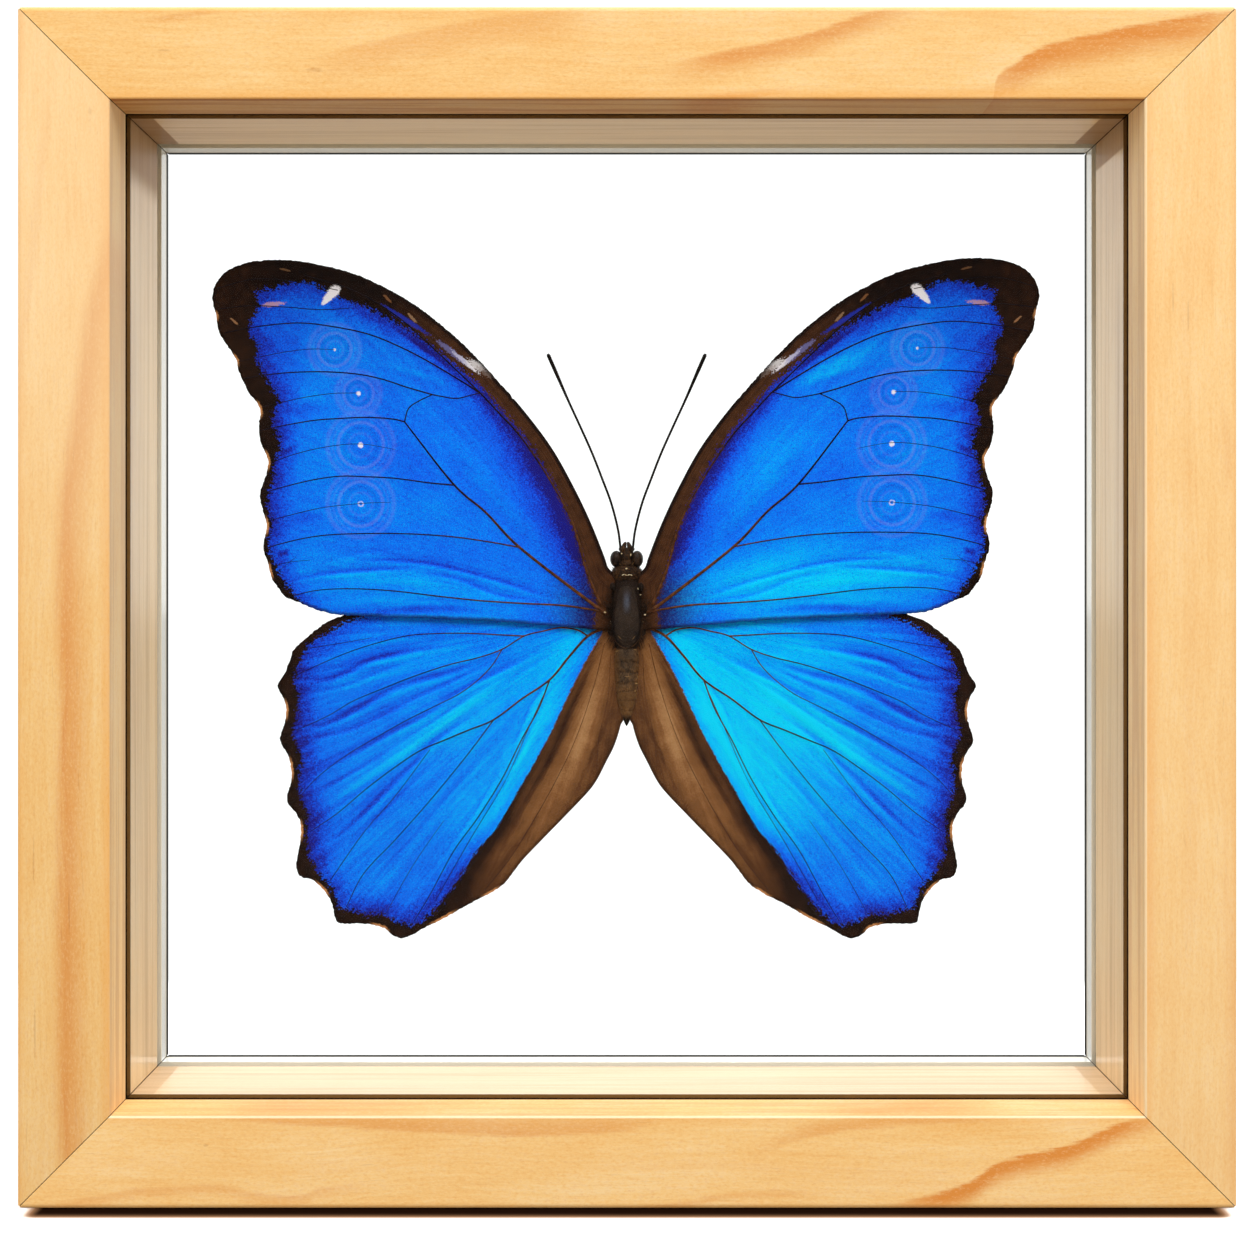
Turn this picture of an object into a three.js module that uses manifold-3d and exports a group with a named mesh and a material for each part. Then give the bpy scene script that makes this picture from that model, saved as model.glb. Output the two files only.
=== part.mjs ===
// A blue morpho butterfly held between two panes of glass in a deep, mitred pine frame that is open at the back.
//
// Millimetres. +Z is up, the front faces -Y, and the origin is the middle of the frame's bottom face, so the
// frame stands on Z = 0. From the front face backwards the build is: front lip, front glass, spacers, back glass
// and rear strips. The glass, the spacers and the strips all lie in a rebate cut in the four rails.
// The butterfly hangs in the air space on a clear adhesive dot between its thorax and the back glass.

import * as THREE from "three";
import { mergeVertices } from "three/addons/utils/BufferGeometryUtils.js";
import Module from "manifold-3d";

const wasm = await Module();
wasm.setup();

// ---- Frame: driving dimensions ----
const WIDTH = 203;
const HEIGHT = 200;
const DEPTH = 38;
const FACE = 15.5; // width of the wood seen from the front
const LIP = 9.4; // depth of the lip in front of the glass
const REBATE = 4; // how far the rebate is cut into each rail
const GLASS = 2.4;
const REAR_STRIP = 5; // depth of the strips behind the back glass
const OUTER_ROUND = 1;
const INNER_ROUND = 0.4;
const CORNER_ROUND = 1; // the frame's corners, seen from the front
const FIT = 0.3; // gap between pieces that rest on each other
const MITRE_GAP = 0.12; // gap between the two faces of a mitre
const ARC_STEPS = 5;

// Depths from the front face, worked out from the dimensions above.
const FRONT_GLASS_AT = LIP + FIT;
const SPACER_AT = FRONT_GLASS_AT + GLASS + FIT;
const REAR_STRIP_AT = DEPTH - REAR_STRIP;
const BACK_GLASS_AT = REAR_STRIP_AT - FIT - GLASS;
const FRONT_Y = -DEPTH / 2;

// ---- Butterfly: driving dimensions ----
const BUTTERFLY_Z = 99.2; // height of the middle of the thorax
const WING_THICKNESS = 0.5;
const FOREWING_Y = 5.3; // front face of the forewings, which lie over the hindwings
const HINDWING_Y = FOREWING_Y + WING_THICKNESS + FIT;
const BODY_Y = 6.6; // the body's axis
const BODY_DEPTH = 1.12; // the body's depth as a share of its width
const EYE_RADIUS = 1.55;
const EYE_X = 1.5;
const EYE_Z = 9.3;
const ANTENNA_DIAMETER = 0.6;
const LEG_DIAMETER = 0.5;
const DOT_RADIUS = 1.8;
const RIGHT_WING_LIFT = THREE.MathUtils.degToRad(0.3); // the right forewing is set a little higher
const SPLINE_STEPS = 3;

// Wing outlines, as [x, z] from the middle of the thorax, for the wing on the +X side.
const FOREWING_OUTLINE = [
  [2.4, 5.1], [3.9, 9.3], [6.4, 15.6], [9.4, 21.9], [13.3, 28.9], [18.1, 35.4], [23.2, 41.3], [27.7, 46.2],
  [32.2, 50.4], [37.7, 54.7], [43.7, 58.2], [49.7, 60.8], [56.7, 62.5], [61.9, 63.1], [67.3, 62.8], [71.5, 61.4],
  [73.9, 59], [74.6, 56.1], [73.9, 53], [73.8, 51.5], [73.3, 49.7], [71.1, 46.3], [70.2, 44.8], [70, 43.4],
  [68.3, 39.5], [66.4, 37], [66, 35.4], [66.3, 32.6], [65.9, 30], [64.9, 27.8], [64.6, 26.6], [65, 24.3],
  [65.9, 21.7], [66, 20], [65.5, 17.7], [64.9, 15.9], [64.9, 14.5], [65.4, 12.2], [65.4, 10.7], [64.6, 8.3],
  [64, 5.8], [62.8, 4], [61.4, 2.3], [59.2, 1.4], [56.6, 0.3], [53.8, -0.6], [49.9, -1], [41.7, -1.3],
  [31.6, -1.7], [21.5, -2.2], [11.6, -3], [4.9, -3.5], [1.6, -3.2],
];
const HINDWING_OUTLINE = [
  [2, -4], [7.6, -2.2], [15.7, -0.5], [26.5, 0.5], [39.2, 0.9], [47.3, 0.4], [51.4, -1], [54.4, -2.3],
  [57.5, -4.7], [60.1, -7.1], [60.8, -8.9], [61.7, -11.3], [63.1, -13.7], [62.1, -15.7], [61.5, -17.9],
  [61.7, -20.2], [62.6, -23.5], [61.2, -26.2], [60.6, -28.5], [60.6, -31], [61.4, -34.3], [59.7, -36.9],
  [58.9, -38.8], [59, -41.9], [59.7, -46.2], [58.8, -48.2], [56.8, -48.7], [54.7, -50.6], [53.3, -52.8],
  [52.7, -55.5], [51.8, -56.6], [47, -56.7], [43.9, -57.4], [42.4, -58.7], [40.4, -59.3], [38.3, -58.5],
  [36.5, -57.4], [33, -55.7], [28.6, -53.2], [24.2, -50.9], [21.6, -48.9], [19, -45.4], [15.5, -41.7],
  [11.6, -37.7], [7.2, -33.1], [5.4, -30.7], [3.7, -27.4], [2.2, -24.4], [1.1, -20.9], [0.9, -19],
  [1.2, -15.3], [1.5, -11.2], [1.6, -7.2],
];
// The body from the tip of the abdomen to the palps, as [half width, z].
const BODY_PROFILE = [
  [0, -21], [0.45, -20.2], [1, -18], [1.5, -16], [1.85, -14], [2.15, -11], [2.25, -8.4], [2, -7.2], [2.35, -6.2],
  [2.8, -4], [3, -1], [2.95, 2], [2.7, 4.4], [2.3, 5.4], [2.6, 6.4], [2.5, 7.4], [1.8, 8], [1.85, 9.3],
  [1.6, 10.5], [0.9, 11.6], [0, 12.3],
];
// The middle lines of an antenna, [x, z], and of the legs, [x, y, z], on the +X side.
const ANTENNA_LINE = [
  [1.2, 11.5], [1.6, 14.7], [2.8, 19.3], [4.4, 23.6], [6.2, 28.2], [8.3, 32.9], [10.6, 37.9], [12.7, 42.7],
  [14.2, 46.1],
];
const LEG_LINES = {
  mid: [[2, 9.2, 0.5], [4.6, 9, -2.5], [2.8, 10.3, -6.5], [1.6, 10.5, -10.5]],
  hind: [[1.8, 9, -3.5], [4.4, 8.6, -8], [2.2, 9.7, -12.5], [1, 10.2, -16.5]],
};

// ---- Materials ----
const plain = (color, roughness) => new THREE.MeshStandardMaterial({ color, roughness, metalness: 0 });
const PINE = plain(0xf0be78, 0.45);
const CLEAR_GLASS = new THREE.MeshStandardMaterial({
  color: 0xeef6f2,
  roughness: 0.03,
  metalness: 0,
  transparent: true,
  opacity: 0.2,
});
const CLEAR_GLUE = plain(0xe8eaea, 0.2);
const BLUE_WING = plain(0x0a6cf0, 0.35);
const BODY_BROWN = plain(0x2b211a, 0.8);
const ANTENNA_BLACK = plain(0x120d0a, 0.6);

// ---- Solids ----
function solidOf(geometry) {
  const bare = geometry.clone();
  bare.deleteAttribute("normal");
  bare.deleteAttribute("uv");
  const merged = mergeVertices(bare, 1e-4);
  return new wasm.Manifold(
    new wasm.Mesh({
      numProp: 3,
      vertProperties: new Float32Array(merged.attributes.position.array),
      triVerts: new Uint32Array(merged.index.array),
    }),
  );
}

function geometryOf(solid) {
  const mesh = solid.getMesh();
  const geometry = new THREE.BufferGeometry();
  geometry.setAttribute("position", new THREE.BufferAttribute(mesh.vertProperties, 3));
  geometry.setIndex(new THREE.BufferAttribute(mesh.triVerts, 1));
  return geometry;
}

function piece(name, geometry, material) {
  const mesh = new THREE.Mesh(geometry, material);
  mesh.name = name;
  return mesh;
}

const circle = (radius, sides) =>
  new THREE.Shape(
    Array.from({ length: sides }, (_, i) => {
      const turn = (2 * Math.PI * i) / sides;
      return new THREE.Vector2(radius * Math.cos(turn), radius * Math.sin(turn));
    }),
  );

function tube(points, diameter, steps) {
  const path = new THREE.CatmullRomCurve3(points.map(([x, y, z]) => new THREE.Vector3(x, y, z)));
  return new THREE.ExtrudeGeometry(circle(diameter / 2, 8), { extrudePath: path, steps });
}

// ---- Mitred bars ----
// Every wooden bar has a profile drawn as (depth from the front, distance in from the frame's outer edge).

function railProfile() {
  const shape = new THREE.Shape();
  shape.moveTo(OUTER_ROUND, 0);
  shape.lineTo(DEPTH - INNER_ROUND, 0);
  shape.absarc(DEPTH - INNER_ROUND, INNER_ROUND, INNER_ROUND, -Math.PI / 2, 0, false);
  shape.lineTo(DEPTH, FACE - REBATE);
  shape.lineTo(LIP, FACE - REBATE);
  shape.lineTo(LIP, FACE);
  shape.lineTo(INNER_ROUND, FACE);
  shape.absarc(INNER_ROUND, FACE - INNER_ROUND, INNER_ROUND, Math.PI / 2, Math.PI, false);
  shape.lineTo(0, OUTER_ROUND);
  shape.absarc(OUTER_ROUND, OUTER_ROUND, OUTER_ROUND, Math.PI, 1.5 * Math.PI, false);
  return shape;
}

function filletProfile(from, to) {
  const inner = FACE - REBATE + FIT;
  return new THREE.Shape([
    new THREE.Vector2(from, inner),
    new THREE.Vector2(to, inner),
    new THREE.Vector2(to, FACE),
    new THREE.Vector2(from, FACE),
  ]);
}

// What is left of a bar of this length after both mitres are cut and the corners are rounded.
function mitreOutline(length) {
  const end = length / 2 - MITRE_GAP / Math.SQRT2;
  const top = FACE + 1;
  const shape = new THREE.Shape();
  shape.moveTo(-end + CORNER_ROUND, 0);
  shape.lineTo(end - CORNER_ROUND, 0);
  shape.absarc(end - CORNER_ROUND, CORNER_ROUND, CORNER_ROUND, -Math.PI / 2, -Math.PI / 4, false);
  shape.lineTo(end - top, top);
  shape.lineTo(-end + top, top);
  shape.absarc(-end + CORNER_ROUND, CORNER_ROUND, CORNER_ROUND, -0.75 * Math.PI, -Math.PI / 2, false);
  return shape;
}

// A bar along X whose outer edge is Z = 0 and whose front is the frame's front.
function mitredBar(profile, length) {
  const bar = new THREE.ExtrudeGeometry(profile, { depth: length, bevelEnabled: false, curveSegments: ARC_STEPS });
  const alongX = new THREE.Matrix4().makeBasis(
    new THREE.Vector3(0, 1, 0),
    new THREE.Vector3(0, 0, 1),
    new THREE.Vector3(1, 0, 0),
  );
  bar.applyMatrix4(alongX.setPosition(-length / 2, FRONT_Y, 0));
  const cutter = new THREE.ExtrudeGeometry(mitreOutline(length), {
    depth: 2 * DEPTH,
    bevelEnabled: false,
    curveSegments: ARC_STEPS,
  });
  const throughY = new THREE.Matrix4().makeBasis(
    new THREE.Vector3(1, 0, 0),
    new THREE.Vector3(0, 0, 1),
    new THREE.Vector3(0, -1, 0),
  );
  cutter.applyMatrix4(throughY.setPosition(0, DEPTH, 0));
  return geometryOf(solidOf(bar).intersect(solidOf(cutter)));
}

const SIDES = {
  bottom: { length: WIDTH, turn: 0, at: [0, 0, 0] },
  top: { length: WIDTH, turn: Math.PI, at: [0, 0, HEIGHT] },
  left: { length: HEIGHT, turn: Math.PI / 2, at: [-WIDTH / 2, 0, HEIGHT / 2] },
  right: { length: HEIGHT, turn: -Math.PI / 2, at: [WIDTH / 2, 0, HEIGHT / 2] },
};

function fourBars(prefix, profile) {
  return Object.entries(SIDES).map(([side, { length, turn, at }]) => {
    const bar = piece(`${prefix}_${side}`, mitredBar(profile, length), PINE);
    bar.rotation.y = turn;
    bar.position.set(...at);
    return bar;
  });
}

function glassPane(name, depthAt) {
  const inset = 2 * (FACE - REBATE + FIT);
  const pane = piece(name, new THREE.BoxGeometry(WIDTH - inset, GLASS, HEIGHT - inset), CLEAR_GLASS);
  pane.position.set(0, FRONT_Y + depthAt + GLASS / 2, HEIGHT / 2);
  return pane;
}

// ---- Butterfly ----
// All of it is drawn about the middle of the thorax in X and Z, and at its place in Y.

function bodySolid(grow) {
  const profile = BODY_PROFILE.map(([r, z], i) => {
    const last = BODY_PROFILE.length - 1;
    if (i === 0) return new THREE.Vector2(0, z - grow);
    if (i === last) return new THREE.Vector2(0, z + grow);
    return new THREE.Vector2(r + grow, z);
  });
  const trunk = new THREE.LatheGeometry(profile, 20);
  trunk.rotateX(Math.PI / 2);
  trunk.scale(1, BODY_DEPTH, 1);
  trunk.translate(0, BODY_Y, 0);
  return [-1, 1].reduce((solid, side) => {
    const eye = new THREE.IcosahedronGeometry(EYE_RADIUS + grow, 3);
    eye.translate(side * EYE_X, BODY_Y - 0.2, EYE_Z);
    return solid.add(solidOf(eye));
  }, solidOf(trunk));
}

const body = bodySolid(0);
const bodyClearance = bodySolid(FIT);

const clearOfBody = (geometry) => geometryOf(solidOf(geometry).subtract(bodyClearance));

function wing(outline, frontY, side, lift) {
  const points = outline.map(([x, z]) => new THREE.Vector2(x, z));
  const shape = new THREE.Shape();
  shape.moveTo(points[0].x, points[0].y);
  shape.splineThru(points.slice(1));
  const geometry = new THREE.ExtrudeGeometry(shape, {
    depth: WING_THICKNESS,
    bevelEnabled: false,
    curveSegments: SPLINE_STEPS,
  });
  geometry.rotateZ(lift);
  geometry.rotateX(Math.PI / 2);
  geometry.translate(0, frontY + WING_THICKNESS, 0);
  if (side < 0) geometry.rotateZ(Math.PI).translate(0, 2 * frontY + WING_THICKNESS, 0);
  return clearOfBody(geometry);
}

const onSide = (side, points) => points.map(([x, y, z]) => [side * x, y, z]);

function antenna(side) {
  const points = ANTENNA_LINE.map(([x, z]) => [x, FOREWING_Y, z]);
  return clearOfBody(tube(onSide(side, points), ANTENNA_DIAMETER, 30));
}

const leg = (side, pair) => clearOfBody(tube(onSide(side, LEG_LINES[pair]), LEG_DIAMETER, 16));

function adhesiveDot() {
  const back = FRONT_Y + BACK_GLASS_AT - 0.1;
  const front = BODY_Y + 3 * BODY_DEPTH + FIT;
  const dot = new THREE.CylinderGeometry(DOT_RADIUS, DOT_RADIUS, back - front, 24);
  dot.translate(0, (back + front) / 2, -1);
  return dot;
}

function butterfly() {
  const group = new THREE.Group();
  group.position.z = BUTTERFLY_Z;
  group.add(piece("butterfly_body", geometryOf(body), BODY_BROWN));
  for (const [word, side] of [["left", -1], ["right", 1]]) {
    const lift = side > 0 ? RIGHT_WING_LIFT : 0;
    group.add(piece(`forewing_${word}`, wing(FOREWING_OUTLINE, FOREWING_Y, side, lift), BLUE_WING));
    group.add(piece(`hindwing_${word}`, wing(HINDWING_OUTLINE, HINDWING_Y, side, 0), BLUE_WING));
    group.add(piece(`antenna_${word}`, antenna(side), ANTENNA_BLACK));
    group.add(piece(`mid_leg_${word}`, leg(side, "mid"), BODY_BROWN));
    group.add(piece(`hind_leg_${word}`, leg(side, "hind"), BODY_BROWN));
  }
  group.add(piece("adhesive_dot", adhesiveDot(), CLEAR_GLUE));
  return group;
}

// ---- The whole object ----
const framedButterfly = new THREE.Group();
framedButterfly.add(
  ...fourBars("rail", railProfile()),
  ...fourBars("spacer", filletProfile(SPACER_AT, BACK_GLASS_AT - FIT)),
  ...fourBars("rear_strip", filletProfile(REAR_STRIP_AT, DEPTH)),
  glassPane("front_glass", FRONT_GLASS_AT),
  glassPane("back_glass", BACK_GLASS_AT),
  butterfly(),
);

export default framedButterfly;
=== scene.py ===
"""The looks of a framed blue morpho: a mitred pine frame, two panes of glass and the butterfly between them.

The wood and the glass keep their CAD solids and get procedural materials. The butterfly's plain solids are
replaced by thin veined wings, a hairy body, clubbed antennae and jointed legs, each in the place that its CAD
node holds.
"""

import math
from types import SimpleNamespace

import bmesh
import bpy
import numpy as np
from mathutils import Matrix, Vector
from mathutils.geometry import delaunay_2d_cdt


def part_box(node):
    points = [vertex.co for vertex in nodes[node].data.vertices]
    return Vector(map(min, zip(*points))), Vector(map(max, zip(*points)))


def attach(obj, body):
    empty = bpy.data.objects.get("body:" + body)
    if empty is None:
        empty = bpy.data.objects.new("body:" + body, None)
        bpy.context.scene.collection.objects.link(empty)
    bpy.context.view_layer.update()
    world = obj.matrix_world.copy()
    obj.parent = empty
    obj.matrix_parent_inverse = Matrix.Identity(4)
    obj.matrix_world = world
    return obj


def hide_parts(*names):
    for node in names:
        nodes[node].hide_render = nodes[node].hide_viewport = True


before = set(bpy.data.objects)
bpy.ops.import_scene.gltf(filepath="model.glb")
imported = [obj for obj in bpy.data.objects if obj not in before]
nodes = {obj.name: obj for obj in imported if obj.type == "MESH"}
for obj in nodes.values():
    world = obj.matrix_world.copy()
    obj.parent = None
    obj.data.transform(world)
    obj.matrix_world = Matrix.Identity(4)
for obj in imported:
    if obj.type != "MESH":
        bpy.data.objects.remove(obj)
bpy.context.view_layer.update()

MM = 0.001
random = np.random.default_rng(8)

# Places that part.mjs sets, in millimetres.
FRAME_WIDTH, FRAME_HEIGHT, FRAME_DEPTH = 203, 200, 38
FRONT_Y = -FRAME_DEPTH / 2
FACE = 15.5
BUTTERFLY_Z = 99.2
FOREWING_Y, HINDWING_Y, BODY_Y = 5.55, 6.35, 6.6
RIGHT_WING_LIFT = math.radians(0.3)


def srgb(red, green, blue):
    """A linear colour from a screen colour of 0 to 255."""
    values = (v / 255 for v in (red, green, blue))
    return (
        *(v / 12.92 if v < 0.04045 else ((v + 0.055) / 1.055) ** 2.4 for v in values),
        1.0,
    )


# ---- Shader arithmetic ----
class Wire:
    """A node's output. Arithmetic on it adds Math nodes."""

    def __init__(self, shader, socket):
        self.shader, self.socket = shader, socket

    def __add__(self, other):
        return self.shader.math("ADD", self, other)

    def __sub__(self, other):
        return self.shader.math("SUBTRACT", self, other)

    def __rsub__(self, other):
        return self.shader.math("SUBTRACT", other, self)

    def __mul__(self, other):
        return self.shader.math("MULTIPLY", self, other)

    def __truediv__(self, other):
        return self.shader.math("DIVIDE", self, other)

    def __abs__(self):
        return self.shader.math("ABSOLUTE", self)

    __radd__, __rmul__ = __add__, __mul__


class Shader:
    """Builds one material from expressions."""

    def __init__(self, name):
        self.material = bpy.data.materials.new(name)
        self.material.use_nodes = True
        self.tree = self.material.node_tree
        self.tree.nodes.clear()

    def node(self, kind, inputs, out=0, **settings):
        made = self.tree.nodes.new("ShaderNode" + kind)
        for key, value in settings.items():
            setattr(made, key, value)
        for key, value in inputs.items():
            if isinstance(value, Wire):
                self.tree.links.new(value.socket, made.inputs[key])
            else:
                made.inputs[key].default_value = value
        return Wire(self, made.outputs[out])

    def math(self, operation, *values):
        return self.node("Math", dict(enumerate(values)), operation=operation)

    def most(self, *values):
        found = values[0]
        for value in values[1:]:
            found = self.math("MAXIMUM", found, value)
        return found

    def distance(self, x, z):
        return self.math("SQRT", x * x + z * z)

    def clamp(self, value):
        return self.node("Clamp", {"Value": value})

    def step(self, value, low, high):
        """Rises smoothly from 0 at low to 1 at high, or falls where low is above high."""
        if low > high:
            return 1 - self.step(value, high, low)
        ends = {"Value": value, "From Min": low, "From Max": high}
        return self.node("MapRange", ends, interpolation_type="SMOOTHSTEP")

    def band(self, value, middle, half_width):
        """1 at the middle, 0 beyond the half width."""
        return self.step(abs(value - middle), half_width, 0)

    def vector(self, x, y, z=0.0):
        return self.node("CombineXYZ", {"X": x, "Y": y, "Z": z})

    def split(self, vector):
        made = self.node("SeparateXYZ", {"Vector": vector}).socket.node
        return [Wire(self, socket) for socket in made.outputs]

    def millimetres(self):
        """The point in the row frame, in millimetres, as three wires."""
        place = self.node("TexCoord", {}, out="Object")
        scaled = self.node(
            "VectorMath", {0: place, 1: (1000,) * 3}, operation="MULTIPLY"
        )
        return self.split(scaled)

    def attribute(self, name, out="Fac"):
        return self.node("Attribute", {}, out=out, attribute_name=name)

    def noise(self, vector, scale, detail=2.0, roughness=0.5, distortion=0.0):
        """Noise from 0 to 1, about 0.5 on average."""
        inputs = {
            "Vector": vector,
            "Scale": scale,
            "Detail": detail,
            "Roughness": roughness,
            "Distortion": distortion,
        }
        return self.node("TexNoise", inputs)

    def cells(self, vector, scale, out="Distance", feature="F1"):
        inputs = {"Vector": vector, "Scale": scale}
        return self.node("TexVoronoi", inputs, out=out, feature=feature)

    def mix(self, share, low, high):
        inputs = {"Factor": share, "A": low, "B": high}
        made = self.tree.nodes.new("ShaderNodeMix")
        made.data_type = "RGBA"
        made.clamp_factor = True
        for key, value in inputs.items():
            socket = next(
                s
                for s in made.inputs
                if s.name == key and s.enabled and s.type in ("VALUE", "RGBA")
            )
            if isinstance(value, Wire):
                self.tree.links.new(value.socket, socket)
            else:
                socket.default_value = value
        return Wire(self, next(s for s in made.outputs if s.enabled))

    def ramp(self, value, *stops):
        """A colour from (position, colour) stops."""
        made = self.node("ValToRGB", {"Fac": value})
        elements = made.socket.node.color_ramp.elements
        while len(elements) < len(stops):
            elements.new(0.5)
        for element, (position, _) in zip(elements, stops):
            element.position = position
        for element, (_, tone) in zip(elements, stops):
            element.color = tone
        return made

    def curve(self, value, points):
        """The height of a smooth line through (value, height) points. It stays level beyond its ends."""
        spots = np.array(points, float)
        low, span = spots.min(0), np.ptp(spots, axis=0) + 1e-6
        made = self.node("FloatCurve", {"Value": (value - float(low[0])) / float(span[0])})
        mapping = made.socket.node.mapping
        line = mapping.curves[0]
        unit = (spots - low) / span
        unit = unit[np.argsort(unit[:, 0])]
        for point, (x, y) in zip(line.points, (unit[0], unit[-1])):
            point.location = (x, y)
        for x, y in unit[1:-1]:
            line.points.new(x, y)
        mapping.update()
        return made * float(span[1]) + float(low[1])

    def bump(self, height, distance, strength=1.0):
        """A normal from a height of 0 to 1 that stands for this many millimetres."""
        return self.node("Bump", {"Height": height, "Distance": distance * MM, "Strength": strength})

    def surface(self, **inputs):
        """Ends the material in a Principled shader. Underscores in the names stand for spaces."""
        named = {key.replace("_", " "): value for key, value in inputs.items()}
        self.output(self.node("BsdfPrincipled", named))
        return self.material

    def output(self, shader):
        end = self.tree.nodes.new("ShaderNodeOutputMaterial")
        self.tree.links.new(shader.socket, end.inputs["Surface"])
        return self.material


# ---- Pine ----
PINE_PALE = srgb(253, 223, 170)
PINE = srgb(250, 207, 138)
PINE_WARM = srgb(244, 187, 108)
PINE_FLAME = srgb(226, 146, 66)
PINE_FLECK = srgb(176, 98, 44)

# The figure on each rail's front. A flame is its sharp edge, a line of (along, across) points in the row
# frame, with the depth of its soft side, negative where that is the lower or the left one, and its strength.
RAIL_FLAMES = {
    "top": [
        ([(-48, 192.6), (-39, 194.9), (-31.6, 196.4), (-24, 197.8), (-8, 199.6)], -7, 0.3),
        ([(10.6, 191.1), (18.4, 192.8), (28.2, 194.8), (33.4, 196.4), (38.5, 198.3), (43.8, 199.6)],
            -5, 0.62),
        (
            [(60.9, 184.6), (61.9, 188.6), (64.6, 190.4), (68.4, 192.8), (73.7, 194.4), (80.2, 195.8),
                (90, 197.6), (99.6, 198.9)],
            -7,
            0.85,
        ),
        ([(9, 184.6), (17, 185.2), (24, 185.9)], -1.6, 0.5),
        ([(-79, 198), (-69, 199.4)], -1.4, 0.35),
    ],
    "bottom": [
        ([(-66, 14.9), (-56.7, 14.2), (-43, 13.5), (-29.6, 12.5), (-16, 12.2), (2, 13.5)], 4.5, 0.42),
        ([(25.7, 10.5), (33.7, 12.7), (45.8, 14), (59.3, 14.4)], 3.5, 0.4),
        ([(-96.7, 0.8), (-87, 2.4), (-77, 3.7), (-69, 4.1), (-62, 2.7), (-56.7, 2.1), (-51.4, 3.4),
            (-46.5, 4.1)], -2.6, 0.28),
        ([(2.8, 0.6), (10.9, 1.6), (18.9, 2.9), (29, 2.9)], -2, 0.3),
        (
            [(48, 1.8), (56.6, 4.4), (61.9, 7.8), (65.9, 9), (72.7, 10.4), (78.1, 12.7), (82.7, 14.6),
                (86.9, 15.6)],
            -4.6,
            0.95,
        ),
    ],
    "left": [
        (
            [(164, -85.6), (155.7, -88.2), (146.8, -90.2), (134.8, -91.7), (123.8, -93.4), (111.2, -94.7),
                (84.6, -94.2), (60, -94.5), (30, -94.6), (2, -94)],
            6.5,
            0.62,
        ),
        ([(182.5, -96.5), (171.5, -97.9), (160.2, -99), (143.6, -101), (137.3, -101.5)], 1.6, 0.25),
        ([(112, -94.4), (84, -94), (60, -94.2), (40, -94.3), (10, -94)], 2.2, 0.35),
    ],
    "right": [
        ([(132, 99), (126, 99.3), (120, 99.6)], 1.6, 0.3),
        ([(50, 99.9), (30, 100.2), (5, 100)], 1.6, 0.32),
        ([(108, 88), (90, 87.3), (60, 87.6), (30, 87.2)], -1.8, 0.2),
        ([(160, 93), (130, 92.2), (90, 92.8), (40, 92)], 3, 0.1),
    ],
}
# Small dark marks on the fronts, as (along, across, length, width).
RAIL_FLECKS = {
    "top": [(-52, 189.3, 2.6, 0.7), (-76.8, 192.6, 2, 0.4)],
    "bottom": [(-70, 10.6, 0.7, 0.4)],
    "left": [(182.5, -89.2, 1.3, 0.5), (30, -98.4, 9, 0.3), (49.3, -92.7, 5.6, 0.3),
        (57.7, -98.6, 7, 0.25)],
    "right": [(151.2, 90.7, 5, 0.28), (148.5, 93.2, 5, 0.25)],
}

FLAT_SIDES = ("top", "bottom")
# What differs from side to side. On the rails: how strong the warm rims, the lip's brown fibres and the
# painted shade line at the lip's front are, and how much darker the whole is.
RIM_SHARE = {"top": 1, "bottom": 0.4, "left": 1, "right": 1}
LIP_GRAIN = {"top": 0.55, "bottom": 0.3, "left": 0.55, "right": 0.55}
LIP_SHADE_LINE = {"top": 0.6, "bottom": 0.1, "left": 0.35, "right": 0.2}
RAIL_SHADE = {"top": 0.14, "bottom": 0.07, "left": 0.16, "right": 0.13}
# On the spacers: how much of which pale tone, partly the wood's own and partly painted light that differs
# from side to side, where the painted shade at the ends, in the corners, begins and is full, in millimetres
# from the middle, and how dark it is.
SPACER_TONE = {
    "top": (0.7, srgb(255, 228, 186)),
    "bottom": (0.6, srgb(242, 220, 190)),
    "left": (0.5, srgb(252, 230, 190)),
    "right": (0.5, srgb(252, 230, 190)),
}
SPACER_SHADE_ENDS = {"top": (81.8, 82.2), "bottom": (81.8, 82.2), "left": (72, 77), "right": (79.2, 79.8)}
END_SHADE_SHARE = {"top": 0.7, "bottom": 0.3, "left": 0.6, "right": 0.6}
# The varnish on each kind of bar: its roughness and its refractive index.
COAT = {"rail": (0.2, 1.4), "spacer": (0.2, 1.55), "strip": (0.1, 2.3)}
BLACK = (0, 0, 0, 1)


def bar_wires(s, side, seed):
    """Where a point lies in a bar of the frame, in millimetres, and the noises that its wood is made of."""
    x, depth, z = s.millimetres()
    along, across = (x, z) if side in FLAT_SIDES else (z, x)
    wander = s.noise(s.vector(along * 0.012, seed, depth * 0.02), 1, 2, 0.5) - 0.5
    wavy = across + wander * 9
    if side in FLAT_SIDES:
        inward = FRAME_HEIGHT - z if side == "top" else z
    else:
        inward = x + FRAME_WIDTH / 2 if side == "left" else FRAME_WIDTH / 2 - x
    return SimpleNamespace(
        along=along,
        across=across,
        depth=depth,
        height=z,
        wavy=wavy,
        inward=inward,
        back=depth - FRONT_Y,
        fibres=s.noise(s.vector(along * 0.09, wavy * 1.7 + seed, depth * 1.7), 1, 3, 0.6),
        streaks=s.noise(s.vector(along * 0.012, wavy * 0.42, depth * 0.42 + seed), 1, 3, 0.55),
        mottle=s.noise(s.vector(along * 0.05, across * 0.11, depth * 0.11 + seed), 1, 2, 0.5),
        peel=s.noise(s.vector(along * 1.1, across * 2.1, depth * 2.1), 1, 3, 0.65),
        ticks=s.noise(s.vector(along * 0.32, wavy * 3.6, depth * 3.6 + seed), 1, 1, 0.4),
    )


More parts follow.
